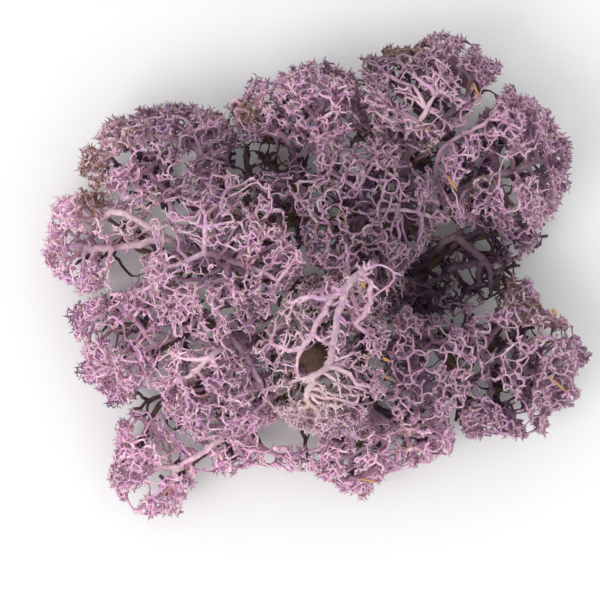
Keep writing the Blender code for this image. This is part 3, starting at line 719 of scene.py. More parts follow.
# %% Stretches of stem
TIP_RADIUS = 0.215
STEM_POWER = 0.175
FLARE = 0.45
WEB = 0.16
BEND = 0.045
SWAY = 0.5
LEAST_FLARE = 0.1
UNEVEN_RADIUS = 0.05
TIP_TURN = 0.35
TIP_TAPER = 0.12
TIP_MARK = 0.35
AHEAD = 0.8
LEAN_ON, LEAN_OFF_FORK, LEAN_OFF_THICK = 1.0, 0.45, 0.25
RINGS = 5
ALL_RINGS, FEW_RINGS = [0, 1, 2, 3, 4], [0, 2, 4]
THIN_SIDES, THICK_SIDES, FINGER_SIDES = 3, 6, 3
THICK_FROM = 6
SHORT = 2.6
AGE_SPAN = 0.7


def radius_of(tips):
    """The radius of a stem that carries so many tips: TIP_RADIUS * tips ** STEM_POWER."""
    return TIP_RADIUS * tips**STEM_POWER


def age_of(radii):
    """The mark of age, 0 on the finest stems and 1 on the thick ones: (radius - TIP_RADIUS) / AGE_SPAN."""
    return np.clip((radii - TIP_RADIUS) / AGE_SPAN, 0, 1)


def hermite(start, end, leave, arrive, t):
    """p(t) = h0 start + h1 end + h2 leave + h3 arrive, the cubic that has these ends and these slopes."""
    t = t[None, :, None]
    start, end, leave, arrive = (v[:, None] for v in (start, end, leave, arrive))
    square, cube = t**2, t**3
    return (
        (2 * cube - 3 * square + 1) * start
        + (3 * square - 2 * cube) * end
        + (cube - 2 * square + t) * leave
        + (cube - square) * arrive
    )


def headings(places, parents, weights):
    """The direction in which each stem passes its fork: from the fork before to the fullest one after."""
    fullest = np.full(len(parents), -1)
    for node in np.argsort(weights, kind="stable"):
        if parents[node] >= 0:
            fullest[parents[node]] = node
    before = places[np.where(parents >= 0, parents, np.arange(len(parents)))]
    after = places[np.where(fullest >= 0, fullest, np.arange(len(parents)))]
    return unit(unit(places - before) + AHEAD * unit(after - places)), fullest


def add_stretches(bundle, tree, routes, net, rng, stout=1):
    """Adds every stretch of stem outside the thick stems. Returns the tips, their headings and chances.

    radius(t) = thick + flare * (1 - t) ** 3 + WEB * thick * t ** 4, so that both ends are stouter.
    """
    places, parents = np.array(tree.places), np.array(tree.parents)
    weights = tree.weights()
    heading, fullest = headings(places, parents, weights)
    main = np.zeros(len(parents), bool)
    main[sorted(set(sum(routes, [])))] = True
    ends = np.flatnonzero(~main)
    starts = parents[ends]
    way = places[ends] - places[starts]
    length = np.linalg.norm(way, axis=1, keepdims=True)
    follows = (fullest[starts] == ends) & ~main[starts]
    lean = np.where(follows, LEAN_ON, np.where(main[starts], LEAN_OFF_THICK, LEAN_OFF_FORK))[:, None]
    sway = SWAY * unit(rng.normal(size=way.shape))
    leave = unit(lean * heading[starts] + (1 - lean) * unit(way) + sway) * length
    is_tip = fullest[ends] < 0
    turned = unit(unit(way) + TIP_TURN * rng.normal(size=way.shape))
    arrive = np.where(is_tip[:, None], turned, heading[ends]) * length
    t = np.linspace(0, 1, RINGS)
    paths = hermite(places[starts], places[ends], leave, arrive, t)
    paths[:, 1:-1] += rng.normal(size=(len(ends), RINGS - 2, 3)) * BEND * length[:, None]
    thick = stout * radius_of(weights[ends])[:, None]
    thinning = stout * radius_of(weights[starts])[:, None] - thick
    flare = np.minimum(FLARE * thick, np.maximum(thinning, LEAST_FLARE * thick))
    toward_end = np.where(is_tip[:, None], -TIP_TAPER * thick * t, WEB * thick * t**4)
    radii = thick + flare * (1 - t) ** 3 + toward_end
    radii = radii * (1 + UNEVEN_RADIUS * rng.normal(size=radii.shape))
    chance = rng.random((len(ends), 1))
    marks = {"tip": np.where(is_tip[:, None], TIP_MARK * t, 0), "age": age_of(radii), "chance": chance}
    short = length[:, 0] < SHORT
    thin = ~is_tip & (weights[ends] < THICK_FROM)
    for chosen, sides, rings in (
        (is_tip & short, FINGER_SIDES, FEW_RINGS),
        (is_tip & ~short, FINGER_SIDES, ALL_RINGS),
        (thin & short, THIN_SIDES, FEW_RINGS),
        (thin & ~short, THIN_SIDES, ALL_RINGS),
        (weights[ends] >= THICK_FROM, THICK_SIDES, ALL_RINGS),
    ):
        bundle.add_some(chosen, rings, paths, radii, sides, rng, **marks)
    if net:
        add_net(bundle, places[ends[is_tip]], net, rng)
    return places[ends[is_tip]], unit(arrive[is_tip]), chance[is_tip, 0]


# %% [markdown]
# ## The net of the crown
#
# Neighbouring stems of this lichen grow into one another, so a crown is a net round dark openings.
# Two tips are joined when no third tip lies nearer to both of them. That rule leaves cells of four
# to seven sides, as the real net has, where joining all near pairs would give triangles.

# %% The net
NET_NEIGHBOURS = 10
NET_REACH = 4.2
NET_RADIUS = 0.2
NET_FLARE = 0.7
NET_ARCH = 0.22
NET_RINGS = 4
NET_UNEVEN = (0.75, 1.3)
NET_TIP, NET_AGE = 0.12, 0.1
THINNED_BY_WAVES = 0.5
NET_WAVE_SCALE = 1.4


def net_pairs(places):
    """Pairs (i, j) of points with no point k for which both distances to k are less than that from i to j."""
    away = np.linalg.norm(places[:, None] - places[None], axis=2)
    near = np.argsort(away, axis=1)[:, 1 : NET_NEIGHBOURS + 1]
    reach = np.take_along_axis(away, near, axis=1)
    between = away[near[:, :, None], near[:, None, :]]
    nearer = np.tril(np.ones((near.shape[1],) * 2, bool), -1)
    free = ~((between < reach[:, :, None]) & nearer).any(axis=2) & (reach < NET_REACH)
    first, column = np.nonzero(free)
    pairs = np.stack([first, near[first, column]], axis=1)
    return np.unique(np.sort(pairs, axis=1), axis=0)


def add_net(bundle, places, share, rng):
    """Adds the bridges between neighbouring tips, fewer of them where the slow waves are low.

    The slopes way + 4 arch and way - 4 arch at the ends lift the middle of a bridge by arch.
    """
    pairs = net_pairs(places)
    start, end = places[pairs[:, 0]], places[pairs[:, 1]]
    slow_waves = waves(NET_WAVE_SCALE * (start + end) / 2)
    pick = rng.random(len(pairs)) < share * (1 + THINNED_BY_WAVES * slow_waves)
    start, end = start[pick], end[pick]
    way = end - start
    length = np.linalg.norm(way, axis=1, keepdims=True)
    arch = unit(rng.normal(size=way.shape)) * NET_ARCH * length
    t = np.linspace(0, 1, NET_RINGS)
    paths = hermite(start, end, way + 4 * arch, way - 4 * arch, t)
    thickness = rng.uniform(*NET_UNEVEN, (len(way), 1))
    radii = NET_RADIUS * (1 + NET_FLARE * np.abs(2 * t - 1) ** 3) * thickness
    chance = rng.random((len(way), 1))
    bundle.add(paths, radii, FINGER_SIDES, rng, tip=NET_TIP, age=NET_AGE, chance=chance)


# %% [markdown]
# ## The fingers
#
# Each of the finest stems ends in a star of up to four short fingers round a small hollow. They
# bend as they grow, some outwards and some back up, and come to a point. A short finger is one cone.
# A longer one is a tube and a cone.

# %% Fingers
FINGER_RADIUS = 0.16
FINGER_SHAPE = np.array([1, 0.85])
FINGER_TIP = np.array([0.3, 0.7])
UNEVEN_GIRTH = (0.85, 1.15)
HOLLOW = 0.12
SUNK = 0.1
OPENING = (0.75, 1.35)
CURL = (-0.7, 0.9)
UNEVEN_STAR = 0.35
BENT_FROM = 0.85
RIM_GROWTH = 0.35


def add_fingers(bundle, places, ways, chances, counts, lengths, rng):
    """Adds the star of fingers at each tip.

    A finger starts off the axis by HOLLOW and leaves at an angle to the stem's way, which changes by
    CURL at half its length: step = sin(angle) * out + cos(angle) * way, for each half.
    """
    counts = rng.integers(counts[0], counts[1] + 1, len(places))
    owner = np.repeat(np.arange(len(places)), counts)
    order = np.arange(len(owner)) - np.repeat(np.cumsum(counts) - counts, counts)
    turn = rng.random(len(places))[owner] * math.tau + math.tau * order / counts[owner]
    turn += rng.normal(size=len(owner)) * UNEVEN_STAR
    way = ways[owner]
    across = unit(np.cross(way, unit(rng.normal(size=ways.shape))[owner]))
    over = np.cross(way, across)
    out = across * np.cos(turn)[:, None] + over * np.sin(turn)[:, None]
    angle = rng.uniform(*OPENING, len(owner))
    bend = rng.uniform(*CURL, len(owner))
    length = rng.uniform(*lengths, len(owner)) * (1 + RIM_GROWTH * rim_share(places)[owner])
    step = (length / 2)[:, None]
    first = np.sin(angle)[:, None] * out + np.cos(angle)[:, None] * way
    second = np.sin(angle + bend)[:, None] * out + np.cos(angle + bend)[:, None] * way
    start = places[owner] + HOLLOW * out - SUNK * way
    paths = np.stack([start, start + step * first], axis=1)
    points = paths[:, 1] + step * second
    radii = FINGER_RADIUS * FINGER_SHAPE * rng.uniform(*UNEVEN_GIRTH, (len(owner), 1))
    chance = chances[owner][:, None]
    bent = length > BENT_FROM
    for chosen, rings in ((bent, [0, 1]), (~bent, [0])):
        bundle.add_some(
            chosen, rings, paths, radii, FINGER_SIDES, rng, points, tip=FINGER_TIP, chance=chance
        )


# %% [markdown]
# ## The thick stems
#
# The few thick stems of a tuft are smooth curves through the points of the plan. They get more
# sides and rings than the fine ones, a swelling at every fork, and low ridges that wind round them.
# Where they lie bare, short spurs with fingers of their own stand on them.

# %% Thick stems
MAIN_STEPS = 4
MAIN_SIDES = 10
UNEVEN = 0.03
SWELL = 0.16
RIDGES, RIDGE_COUNT, RIDGE_TWIST = 0.09, 3, 2
MAIN_WANDER = 0.35
FOOT_LIMIT, END_LIMIT, END_TAPER = 1.35, 1.2, 0.6
THICK_CHANCE = 0.45
NEIGHBOURS = 5
SPUR_LENGTHS = (0.6, 1.7)
SPUR_SIDES, SPUR_RINGS = 4, 4
SPUR_SPREAD = (1, 1, 0.2)
SPUR_TURN = (0.6, 0.6, 0.2)
SPUR_RISE = 0.1
SPUR_LEAN = 0.5
SPUR_TAPER = (1.7, 0.9)
SPUR_TIP = 0.3
SPUR_FINGERS, SPUR_FINGER_LENGTHS = (2, 3), (0.5, 1.0)


def slow(rng, shape):
    """Random values that change slowly from row to row: the mean of a few neighbours, scaled back up."""
    values = rng.normal(size=(shape[0] + NEIGHBOURS - 1, shape[1]))
    return sum(values[i : i + shape[0]] for i in range(NEIGHBOURS)) / NEIGHBOURS**0.5


def add_spurs(bundle, path, radii, spacing, rng):
    """Adds short side stems along a thick one, each with a star of fingers at its end."""
    count = int(np.linalg.norm(np.diff(path, axis=0), axis=1).sum() / spacing)
    spots = rng.integers(2, len(path) - 1, count)
    along = unit(np.gradient(path, axis=0))[spots]
    out = rng.normal(size=(count, 3)) * SPUR_SPREAD
    out = unit(out - (out * along).sum(axis=1, keepdims=True) * along)
    out[:, 2] = np.minimum(out[:, 2], SPUR_RISE)
    length = rng.uniform(*SPUR_LENGTHS, (count, 1)) + radii[spots][:, None]
    way = unit(out + SPUR_LEAN * along)
    turned = unit(way + SPUR_TURN * rng.normal(size=way.shape))
    t = np.linspace(0, 1, SPUR_RINGS)
    paths = hermite(path[spots], path[spots] + way * length, out * length, turned * length, t)
    taper = np.linspace(*SPUR_TAPER, SPUR_RINGS)
    girth = taper * TIP_RADIUS * rng.uniform(*UNEVEN_GIRTH, (count, 1))
    chance = rng.random((count, 1))
    free = ~np.any([within(paths[:, -1], *hollow) for hollow in HOLLOWS], axis=0)
    paths, turned, girth, chance = paths[free], turned[free], girth[free], chance[free]
    tip = np.linspace(0, SPUR_TIP, SPUR_RINGS)
    bundle.add(paths, girth, SPUR_SIDES, rng, tip=tip, chance=chance)
    ends = (paths[:, -1], turned, chance[:, 0])
    add_fingers(bundle, *ends, SPUR_FINGERS, SPUR_FINGER_LENGTHS, rng)


def add_thick_stems(bundle, tree, routes, stout, spurs, rng):
    """Adds the thick stems, each as a smooth curve that thins as it gives off its forks.

    around(i, a) = radius(i) * (1 + RIDGES * cos(RIDGE_COUNT * a + twist(i)) + a small random part)
    """
    weights = tree.weights()
    for number, route in enumerate(routes):
        points = np.array([tree.places[node] for node in route])
        path = smooth(points, MAIN_STEPS)
        steps = np.arange(len(path)) / MAIN_STEPS
        radii = radius_of(weights[route]) * stout
        if number:
            radii[0] = min(radii[0], FOOT_LIMIT * radii[1])
        radii[-1] = min(END_TAPER * radii[-1], END_LIMIT * radii[-2])
        radii = np.interp(steps, range(len(route)), radii)
        radii *= 1 + SWELL * np.cos(math.tau * steps) ** 4
        path[1:-1] += slow(rng, path.shape)[1:-1] * MAIN_WANDER * radii[1:-1, None]
        angle = math.tau * np.arange(MAIN_SIDES) / MAIN_SIDES
        twist = RIDGE_TWIST * slow(rng, (len(path), 1))
        ridges = 1 + RIDGES * np.cos(RIDGE_COUNT * angle[None] + twist)
        ridges = ridges + UNEVEN * rng.normal(size=(len(path), 1))
        around = (radii[:, None] * ridges)[None]
        bundle.add(path[None], around, MAIN_SIDES, rng, age=age_of(radii), chance=THICK_CHANCE)
        if spurs:
            add_spurs(bundle, path, radii, spurs, rng)


# %% [markdown]
# ## Shader maths
#
# A material is a net of small nodes. The class Wire wraps a socket so that sums on it can be
# written as plain Python and turn into Math nodes. The class Recipe adds all the other nodes.

# %% Sockets as numbers
LOW_SHINE = 0.25


def sums(operation):
    """The two methods of an operator, with the wire on its left and on its right."""
    return (
        lambda wire, other: wire.math(operation, wire, other),
        lambda wire, other: wire.math(operation, other, wire),
    )


class Wire:
    """A socket of a material that takes part in sums."""

    __add__, __radd__ = sums("ADD")
    __sub__, __rsub__ = sums("SUBTRACT")
    __mul__, __rmul__ = sums("MULTIPLY")

    def __init__(self, recipe, socket):
        self.recipe, self.socket = recipe, socket

    def math(self, operation, a, b):
        return self.recipe.add("ShaderNodeMath", {"operation": operation}, {0: a, 1: b})


class Recipe:
    """A material under construction."""

    def __init__(self, name):
        self.material = bpy.data.materials.new(name)
        self.material.use_nodes = True
        self.tree = self.material.node_tree
        self.shader = self.tree.nodes["Principled BSDF"]
        self.shader.inputs["Specular IOR Level"].default_value = LOW_SHINE

    def add(self, kind, settings, inputs, output=0):
        """Any node, from its type, its settings and the values or links of its sockets."""
        node = self.tree.nodes.new(kind)
        for key, value in settings.items():
            setattr(node, key, value)
        for key, value in inputs.items():
            self.feed(node.inputs[key], value)
        return Wire(self, node.outputs[output])

    def feed(self, socket, value):
        """Links a wire to a socket, or sets the socket to a value."""
        if isinstance(value, Wire):
            self.tree.links.new(value.socket, socket)
        elif isinstance(value, tuple) and len(value) == 3 and socket.type == "RGBA":
            socket.default_value = (*value, 1)
        else:
            socket.default_value = value

    def mark(self, name):
        """One of the marks on the mesh."""
        return self.add("ShaderNodeAttribute", {"attribute_name": name}, {}, "Fac")

    def noise(self, size, detail=2.0, roughness=0.5):
        """Soft noise between 0 and 1 with features of so many metres."""
        place = self.add("ShaderNodeTexCoord", {}, {}, "Object")
        inputs = {"Vector": place, "Scale": 1 / size, "Detail": detail, "Roughness": roughness}
        return self.add("ShaderNodeTexNoise", {}, inputs, "Fac")

    def between(self, value, low, high):
        """0 below low and 1 above high, with a smooth rise between them."""
        settings = {"interpolation_type": "SMOOTHSTEP"}
        return self.add("ShaderNodeMapRange", settings, {"Value": value, "From Min": low, "From Max": high})

    def layered(self, base, layers):
        """A colour with others laid over it one after the other, each by its share."""
        settings = {"data_type": "RGBA", "blend_type": "MIX"}
        for share, over in layers:
            base = self.add("ShaderNodeMix", settings, {0: share, 6: base, 7: over}, 2)
        return base

    def scaled(self, base, by):
        """A colour made lighter or darker by a number."""
        return self.add("ShaderNodeVectorMath", {"operation": "SCALE"}, {0: base, "Scale": by})

    def finish(self, base, light, roughness, height, strength, distance):
        """Feeds the shader a colour at some brightness, a roughness, and a bump of so many metres."""
        inputs = {"Strength": strength, "Distance": distance, "Height": height}
        bump = self.add("ShaderNodeBump", {}, inputs, "Normal")
        self.feed(self.shader.inputs["Base Color"], self.scaled(base, light))
        self.feed(self.shader.inputs["Roughness"], roughness)
        self.feed(self.shader.inputs["Normal"], bump)
        return self.material


def colour(red, green, blue):
    """A colour as read off a swatch, from 0 to 255, in the linear values that shaders use."""
    share = np.array([red, green, blue]) / 255
    linear = np.where(share > 0.04045, ((share + 0.055) / 1.055) ** 2.4, share / 12.92)
    return tuple(float(part) for part in linear)


print("A swatch of 128 grey is", round(colour(128, 128, 128)[0], 3))

# %% [markdown]
# ## Dyed lichen
#
# The dye takes unevenly. Thick stems stay pale and a little grey, the fine ones turn a stronger
# mauve with rosy or dark tips, and the inside of a head is a deep purple. That deep purple, which
# also fills the valleys between heads, is partly the dye and partly painted shade. The rosy tips are
# partly a painted highlight. Some stems are bluer, and some show the lichen's own brown and cream.
# Whole patches are dried out, dark or pale; the dark ones are partly painted shade. The surface is
# matt with a fine felt, without any gloss. All of it is noise and the marks on the mesh.

# %% The lilac material
PALE_STEM = colour(180, 150, 164)
MAUVE = colour(198, 151, 184)
# Rosy tips: partly the dye and partly a painted highlight
ROSE_AND_HIGHLIGHT = colour(228, 208, 212)
# Deep purple inside the heads: partly the dye and partly painted shade
DEEP_DYE_AND_SHADE = colour(92, 58, 90)
BLUE_VIOLET = colour(142, 120, 174)
BROWN = colour(156, 114, 106)
CREAM = colour(226, 204, 202)
STRAW = colour(188, 144, 92)
DARK_TIP = colour(82, 56, 84)
DRIED = colour(132, 104, 92)
# Dark patches: partly the dye and partly painted shade
DARK_DYE_AND_SHADE = colour(84, 61, 80)
CLOUD_SIZE, MOTTLE_SIZE, FELT_SIZE = 9 * MM, 1.6 * MM, 0.16 * MM
FELT_HEIGHT = 0.06 * MM


def lilac(name, tone_and_painted_light, dark_tips, rose_and_highlight):
    """The lichen's material for one tuft: its brightness, partly painted light, how dark its tips are and how
    rosy, partly a painted highlight.

    Each layer's share grows with the marks and the noise, and the darker tufts are deeper inside, in a deep
    purple that is partly painted shade.
    """
    recipe = Recipe(name)
    tip, age, chance, straw, inner, rim, dry, dark, pale = (recipe.mark(key) for key in MARKS)
    # Darker tufts get more of the deep purple inside, which is partly painted shade
    deepening = min(max(1.9 - tone_and_painted_light, 0.35), 0.95)
    cloud = recipe.noise(CLOUD_SIZE)
    mottle = recipe.noise(MOTTLE_SIZE, 3.0, 0.6)
    felt = recipe.noise(FELT_SIZE, roughness=0.6)
    between = recipe.between
    violet = between(cloud + (chance - 0.5) * 0.3, 0.52, 0.78) * 0.6
    depth = between(inner + (chance - 0.5) * 0.1, 0.04, 0.42) * deepening
    layers = [
        (between(age + (mottle - 0.5) * 0.5, 0.05, 0.8), PALE_STEM),
        # Rosy tips, partly the dye and partly a painted highlight where the tips catch the light
        (between(tip + (chance - 0.5) * 0.5, 0.1, 0.8) * rose_and_highlight, ROSE_AND_HIGHLIGHT),
        (violet * (1 - 0.8 * age) * (1 - pale), BLUE_VIOLET),
        (between(chance + (cloud - 0.5) * 0.8, 0.72, 1.0) * 0.75, BROWN),
        (between(mottle - 0.7 * chance, 0.1, 0.5) * 0.7, CREAM),
        (between(tip + 0.55 * rim + (chance - 0.5) * 0.7, 0.45, 1.0) * dark_tips, DARK_TIP),
        # Deep purple inside the heads and in the valleys between them: partly the dye and partly painted
        # shade
        (depth * (1 - 0.6 * age), DEEP_DYE_AND_SHADE),
        # Dark patches, partly deep dye and partly painted shade over the shaded recesses and tufts
        (dark * 0.9, DARK_DYE_AND_SHADE),
        (pale * (0.3 + 0.5 * tip + 0.4 * mottle) * (1 - inner), CREAM),
        (between(dry + (chance - 0.5) * 1.3 + (mottle - 0.5), 0.5, 1.0), DRIED),
        (straw, STRAW),
    ]
    base = recipe.layered(MAUVE, layers)
    # The tuft's brightness in this is partly painted light: higher for tufts towards the lamp, lower for
    # tufts in shade
    light = tone_and_painted_light * (0.54 + 0.36 * mottle + 0.26 * felt + 0.38 * chance) * (1 - 0.2 * age)
    height = 0.6 * felt + 0.4 * mottle
    return recipe.finish(base, light, 0.82 + 0.16 * felt, height, 0.5, FELT_HEIGHT)


# %% [markdown]
# ## Growing all the tufts
#
# Every tuft becomes one piece that stands for its plain solid. The tufts differ a little in how
# bright they are, how dark their tips have stayed and how stout their thick stems are. Their
# brightness is partly painted light: the tufts towards the lamp at the front left are painted
# lighter and the tufts in shade darker.

# %% All the tufts
# name: (brightness, dark in the tips, rose in the tips, share of the net, fingers, their lengths, stoutness)
# The brightness is partly painted light, higher towards the lamp at the front left and lower in shade, and
# the rose in the tips is partly a painted highlight
FINISH = {
    "tuft_upper_left": (1.4, 0.6, 0.5, 0.5, (2, 4), (0.5, 1.2), 0.9),
    "tuft_left": (1.55, 0.3, 0.7, 0.5, (2, 4), (0.4, 1.1), 1.2),
    "tuft_left_lower": (1.55, 0.9, 0.3, 0.5, (2, 4), (0.4, 1.1), 0.9),
    "tuft_bottom_left": (1.6, 0.7, 0.5, 0.6, (2, 4), (0.4, 1.0), 1.0),
    "tuft_centre_left": (1.25, 0.25, 0.7, 0.55, (2, 4), (0.4, 1.1), 1.0),
    "tuft_lower_left": (1.35, 0.3, 0.6, 0.6, (2, 4), (0.4, 1.0), 1.0),
    "tuft_centre": (1.12, 0.0, 1.0, 0.5, (2, 4), (0.5, 1.2), 0.95),
    "tuft_top_centre": (1.3, 0.7, 0.4, 0.45, (2, 4), (0.5, 1.2), 0.85),
    "tuft_top_right": (1.06, 0.5, 0.6, 0.6, (2, 4), (0.4, 1.1), 0.9),
    "tuft_right_upper": (1.12, 0.6, 0.5, 0.7, (2, 3), (0.4, 1.0), 0.9),
    "tuft_right": (1.05, 0.5, 0.4, 0.6, (2, 3), (0.4, 1.0), 0.9),
    "tuft_centre_net": (0.84, 0.3, 0.4, 0.75, (1, 3), (0.4, 1.0), 0.9),
    "tuft_lower_right": (1.06, 0.5, 0.5, 0.95, (1, 3), (0.4, 0.9), 0.9),
    "tuft_bottom_centre": (1.42, 0.4, 0.5, 0.7, (2, 3), (0.4, 1.0), 0.9),
    "tuft_centre_right": (0.71, 0.6, 0.2, 0.6, (2, 3), (0.4, 1.1), 1.25),
    "tuft_mid_right": (1.1, 0.3, 0.3, 0.9, (1, 3), (0.4, 0.9), 0.9),
    "tuft_upper_mid": (0.85, 0.3, 0.3, 0.4, (2, 4), (0.4, 1.1), 0.9),
}
FINE_SEEDS = 100

# How far apart the spurs stand along the bare thick stems of some tufts
SPURS = {"tuft_centre": 1.8, "tuft_left": 2.0, "tuft_lower_left": 3.5}

# Bits of straw and a needle caught in the crowns, as their ends in plan and their radius
LITTER = {
    "tuft_lower_right": [((46.8, -19), (50.6, -22.2), 0.32), ((47.8, -5.6), (48.7, -7), 0.42)],
    "tuft_bottom_centre": [((9.4, -39.6), (13.2, -40.4), 0.22)],
    "tuft_centre": [((9.2, -0.2, 42.9), (9.9, -1.6, 42.9), 0.4), ((13.4, -15), (15, -15.8), 0.3)],
    "tuft_mid_right": [((13.6, -18.4), (14.9, -19.4), 0.32)],
    "tuft_top_right": [((31.4, 38.8), (32.6, 35.8), 0.28)],
    "tuft_right_upper": [((26.4, 20.4), (28.2, 17.6), 0.3)],
}
LITTER_REACH = 1.4
LITTER_SHAPE = np.array([[0.5, 1, 0.9, 0.3]])


def on_crown(spot, places):
    """A point with the height of the highest tip near it, unless it has a height of its own."""
    if len(spot) == 3:
        return spot
    away = np.hypot(*(places[:, :2] - spot).T)
    return *spot, places[away < away.min() + LITTER_REACH, 2].max()


def placed(bundle, node, material):
    """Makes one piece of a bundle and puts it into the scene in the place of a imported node."""
    mesh = bundle.mesh(f"fine_{node}")
    mesh.materials.append(material)
    piece = bpy.data.objects.new(f"fine_{node}", mesh)
    scene.collection.objects.link(piece)
    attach(piece, "root")
    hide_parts(node)


total = 0
for name, (tree, routes) in grown.items():
    tone_and_painted_light, dark_tips, rose_and_highlight, net, counts, lengths, stout = FINISH[name]
    rng = np.random.default_rng(SEEDS[name] + FINE_SEEDS)
    bundle = Bundle()
    add_thick_stems(bundle, tree, routes, stout, SPURS.get(name, 0), rng)
    tips = add_stretches(bundle, tree, routes, net, rng)
    add_fingers(bundle, *tips, counts, lengths, rng)
    for start, end, radius in LITTER.get(name, []):
        ends = on_crown(start, tips[0]), on_crown(end, tips[0])
        path = np.linspace(*ends, LITTER_SHAPE.shape[1])[None]
        bundle.add(path, radius * LITTER_SHAPE, THICK_SIDES, rng, straw=1.0)
    placed(bundle, name, lilac(f"lilac_{name}", tone_and_painted_light, dark_tips, rose_and_highlight))
    total += bundle.triangles()
    print(name, "tips:", len(tips[0]), "triangles:", bundle.triangles())
print("Triangles in all:", total)

# %% [markdown]
# ## The dead stems below
#
# Under the living tufts lies a net of old stems, dead and brown, some still tinged with the dye. A
# stub stands up from it below every tuft, and finer dead stems fork out from it under the heads.
# They are grown by the tufts' own rule, so they look like lichen too where they show in a gap.
# Between some heads they stand up higher, in thickets.

# %% The plan of the dead stems
OLD_STEMS = [
    [(-22, 4), (-14, 2), (-3, -1), (9.5, 1), (23, 3), (29, 7.5)],
    [(-19, 13), (-7, 12), (1, 13), (9, 11), (18, 12), (27, 14)],
    [(-23, -8), (-13, -12), (0, -15), (10, -15), (18, -13), (25, -12)],
    [(-6, -22), (-2, -18), (0, -15), (2, -8), (9.5, 1), (9, 11)],
    [(11, -24), (9, -19), (10, -15)],
    [(-13, -12), (-15, -5), (-14, 2), (-10, 8), (-7, 12), (-2, 17)],
    [(23, 3), (21, -5), (18, -13)],
    [(18, 12), (18, 20)],
]
OLD_STEM_AXIS = 0.75
OLD_STEM_RADIUS = 1.15
STUB_TOP = 3.1
KNOTS = [(0, -15), (18, 12)]
KNOT_LENGTH, KNOT_RADIUS = 4.2, 2.9
MAT_SPACING = 2.05
MAT_HEIGHTS = (0.8, 7.5)
MAT_INSIDE = 0.8
MAT_STOUTNESS = 1.9
MAT_NET = 0.5
MAT_REACH = 60
MAT_SHIFT = 0.4
SEAM_DEPTHS = (0.8, 1.35)
THIN_BELOW = ["tuft_left", "tuft_left_lower", "tuft_bottom_left"]
THIN_SHARE = 0.3
THICKETS = [
    ((-14.5, 26), (7, 5)),
    ((-6.5, 24), (4, 4)),
    ((27.5, 28.5), (5, 7)),
    ((22, -3), (6, 6)),
    ((-33, 20), (5, 4)),
    ((34, -13), (6, 5)),
    ((35, -21.5), (6, 4)),
]
THICKET_ENDS = 44
THICKET_HEIGHTS = (1.5, 11)
OLD_SEED = 3

# The stump under the window in the middle, as places with their radii
STUMP = [
    (-0.4, -15, 1, 3.6), (0.2, -14.6, 12, 3.0), (-0.4, -15.2, 22, 2.8), (-0.2, -15, 29, 2.6),
    (-0.2, -15, 31, 1.8), (-0.2, -15, 31.6, 0.7),
]

rng = np.random.default_rng(OLD_SEED)
dead_tree = Tree()
dead_routes = []
for stem in OLD_STEMS:
    path = smooth(np.array([(*spot, OLD_STEM_AXIS) for spot in stem]), STEPS_ALONG)
    dead_routes.append(dead_tree.route(path.round(3), joined=False))
axis = np.arange(-MAT_REACH, MAT_REACH, MAT_SPACING)
spots = np.stack([*np.meshgrid(axis, axis), np.zeros((len(axis),) * 2)], axis=-1).reshape(-1, 3)
spots += rng.uniform(-MAT_SHIFT, MAT_SHIFT, spots.shape) * MAT_SPACING
spots[:, 2] = rng.uniform(*MAT_HEIGHTS, len(spots))
depths = plan_depths(spots)
between_heads = ((depths > SEAM_DEPTHS[0]) & (depths < SEAM_DEPTHS[1])).sum(axis=0) > 1
keep = (plan_depth(spots) < MAT_INSIDE) | between_heads
owners = np.array([name for name, heads in HEADS.items() for _ in heads])[depths.argmin(axis=0)]
keep &= ~np.isin(owners, THIN_BELOW) | (rng.random(len(spots)) < THIN_SHARE)
thicket = [spots[keep]]
for middle, reach in THICKETS:
    # The heights are drawn between 0 and 1 first, and then stretched over THICKET_HEIGHTS
    extra = rng.uniform(-1, 1, (THICKET_ENDS, 3)) * (*reach, 0.5) + (*middle, 0.5)
    extra[:, 2] = np.interp(extra[:, 2], (0, 1), THICKET_HEIGHTS)
    thicket.append(extra[within(extra, middle, reach)])
spots = np.concatenate(thicket)
for middle, reach in CLEARINGS:
    spots = spots[~within(spots, middle, reach)]
stations = np.array(dead_tree.places)
nearest = np.linalg.norm(spots[:, None] - stations[None], axis=2).argmin(axis=1)
fork_from(dead_tree, range(len(stations)), nearest, spots, rng)
print("Ends of dead stems:", len(spots))

# %% [markdown]
# The dead stems have a coarser felt than the living ones. Their brown goes over into olive on the
# felt and into purple where some of the dye was taken up, so noise of two sizes mixes the three.

# %% The material of the dead stems
OLD_BROWN = colour(102, 78, 82)
OLD_PURPLE = colour(94, 66, 94)
OLD_OLIVE = colour(124, 102, 82)
OLD_CLOUD_SIZE, OLD_FELT_SIZE = 6 * MM, 0.35 * MM
OLD_FELT_HEIGHT = 0.2 * MM


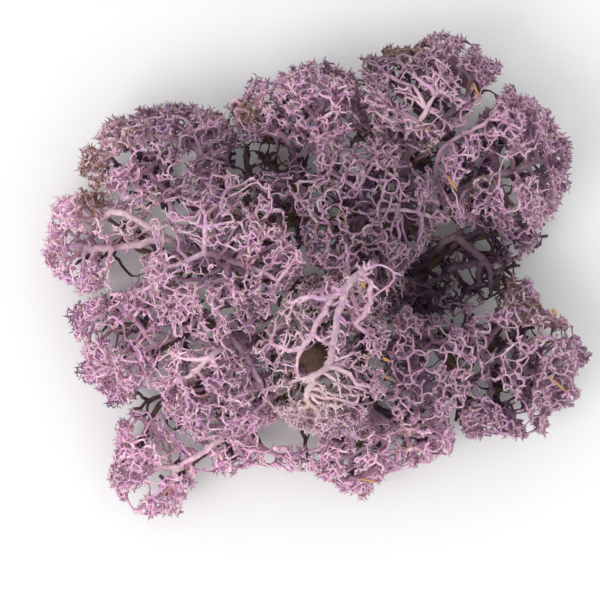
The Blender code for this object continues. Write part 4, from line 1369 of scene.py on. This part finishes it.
def dead(name):
    """Dead stems: brown with olive felt and a little of the dye."""
    recipe = Recipe(name)
    chance = recipe.mark("chance")
    cloud = recipe.noise(OLD_CLOUD_SIZE)
    felt = recipe.noise(OLD_FELT_SIZE, 3.0, 0.65)
    layers = [
        (recipe.between(chance + (cloud - 0.5) * 0.8, 0.2, 0.6), OLD_PURPLE),
        (recipe.between(felt + (cloud - chance) * 0.4, 0.4, 0.7), OLD_OLIVE),
    ]
    base = recipe.layered(OLD_BROWN, layers)
    return recipe.finish(base, 0.7 + 0.6 * felt, 0.95, felt, 0.8, OLD_FELT_HEIGHT)


# %% [markdown]
# One piece holds all of it: the forking dead stems, the thick ones of the net, a stub for each tuft,
# a knot where thick ones meet, and the brown stump that shows through the window in the middle.

# %% The net of dead stems
OLD_SIDES, KNOT_SIDES, STUMP_SIDES = 8, 12, 24
OLD_STEPS, STUMP_STEPS = 3, 4
OLD_WAVER = 0.12
OLD_CHANCE = 0.1
STUB_TAPER = np.array([1.2, 1, 0.9])
KNOT_ENDS, KNOT_RINGS = 0.98, 9


def plain_tube(bundle, path, radii, sides, rng):
    """Adds one tube without fingers."""
    path, radii = np.asarray(path, float), np.asarray(radii, float)
    bundle.add(path[None], radii[None], sides, rng, age=1.0, chance=OLD_CHANCE)


bundle = Bundle()
add_stretches(bundle, dead_tree, dead_routes, MAT_NET, rng, MAT_STOUTNESS)
for route in dead_routes:
    path = smooth(np.array([dead_tree.places[node] for node in route]), OLD_STEPS)
    waver = 1 + OLD_WAVER * slow(rng, (len(path), 1))[:, 0]
    plain_tube(bundle, path, OLD_STEM_RADIUS * waver, OLD_SIDES, rng)
for stems in STEMS.values():
    heights = np.linspace(OLD_STEM_AXIS, STUB_TOP, len(STUB_TAPER))
    path = [(*stems[0][0], z) for z in heights]
    plain_tube(bundle, path, OLD_STEM_RADIUS * STUB_TAPER, OLD_SIDES, rng)
for x, y in KNOTS:
    share = np.linspace(-KNOT_ENDS, KNOT_ENDS, KNOT_RINGS)
    path = [(x + KNOT_LENGTH * part, y, OLD_STEM_AXIS) for part in share]
    plain_tube(bundle, path, KNOT_RADIUS * np.sqrt(1 - share**2), KNOT_SIDES, rng)
stump = smooth(np.array(STUMP)[:, :3], STUMP_STEPS)
radii = np.interp(np.arange(len(stump)) / STUMP_STEPS, range(len(STUMP)), np.array(STUMP)[:, 3])
plain_tube(bundle, stump, radii, STUMP_SIDES, rng)
placed(bundle, "old_stems", dead("dead_brown_felt"))
print("Triangles of the dead stems:", bundle.triangles())
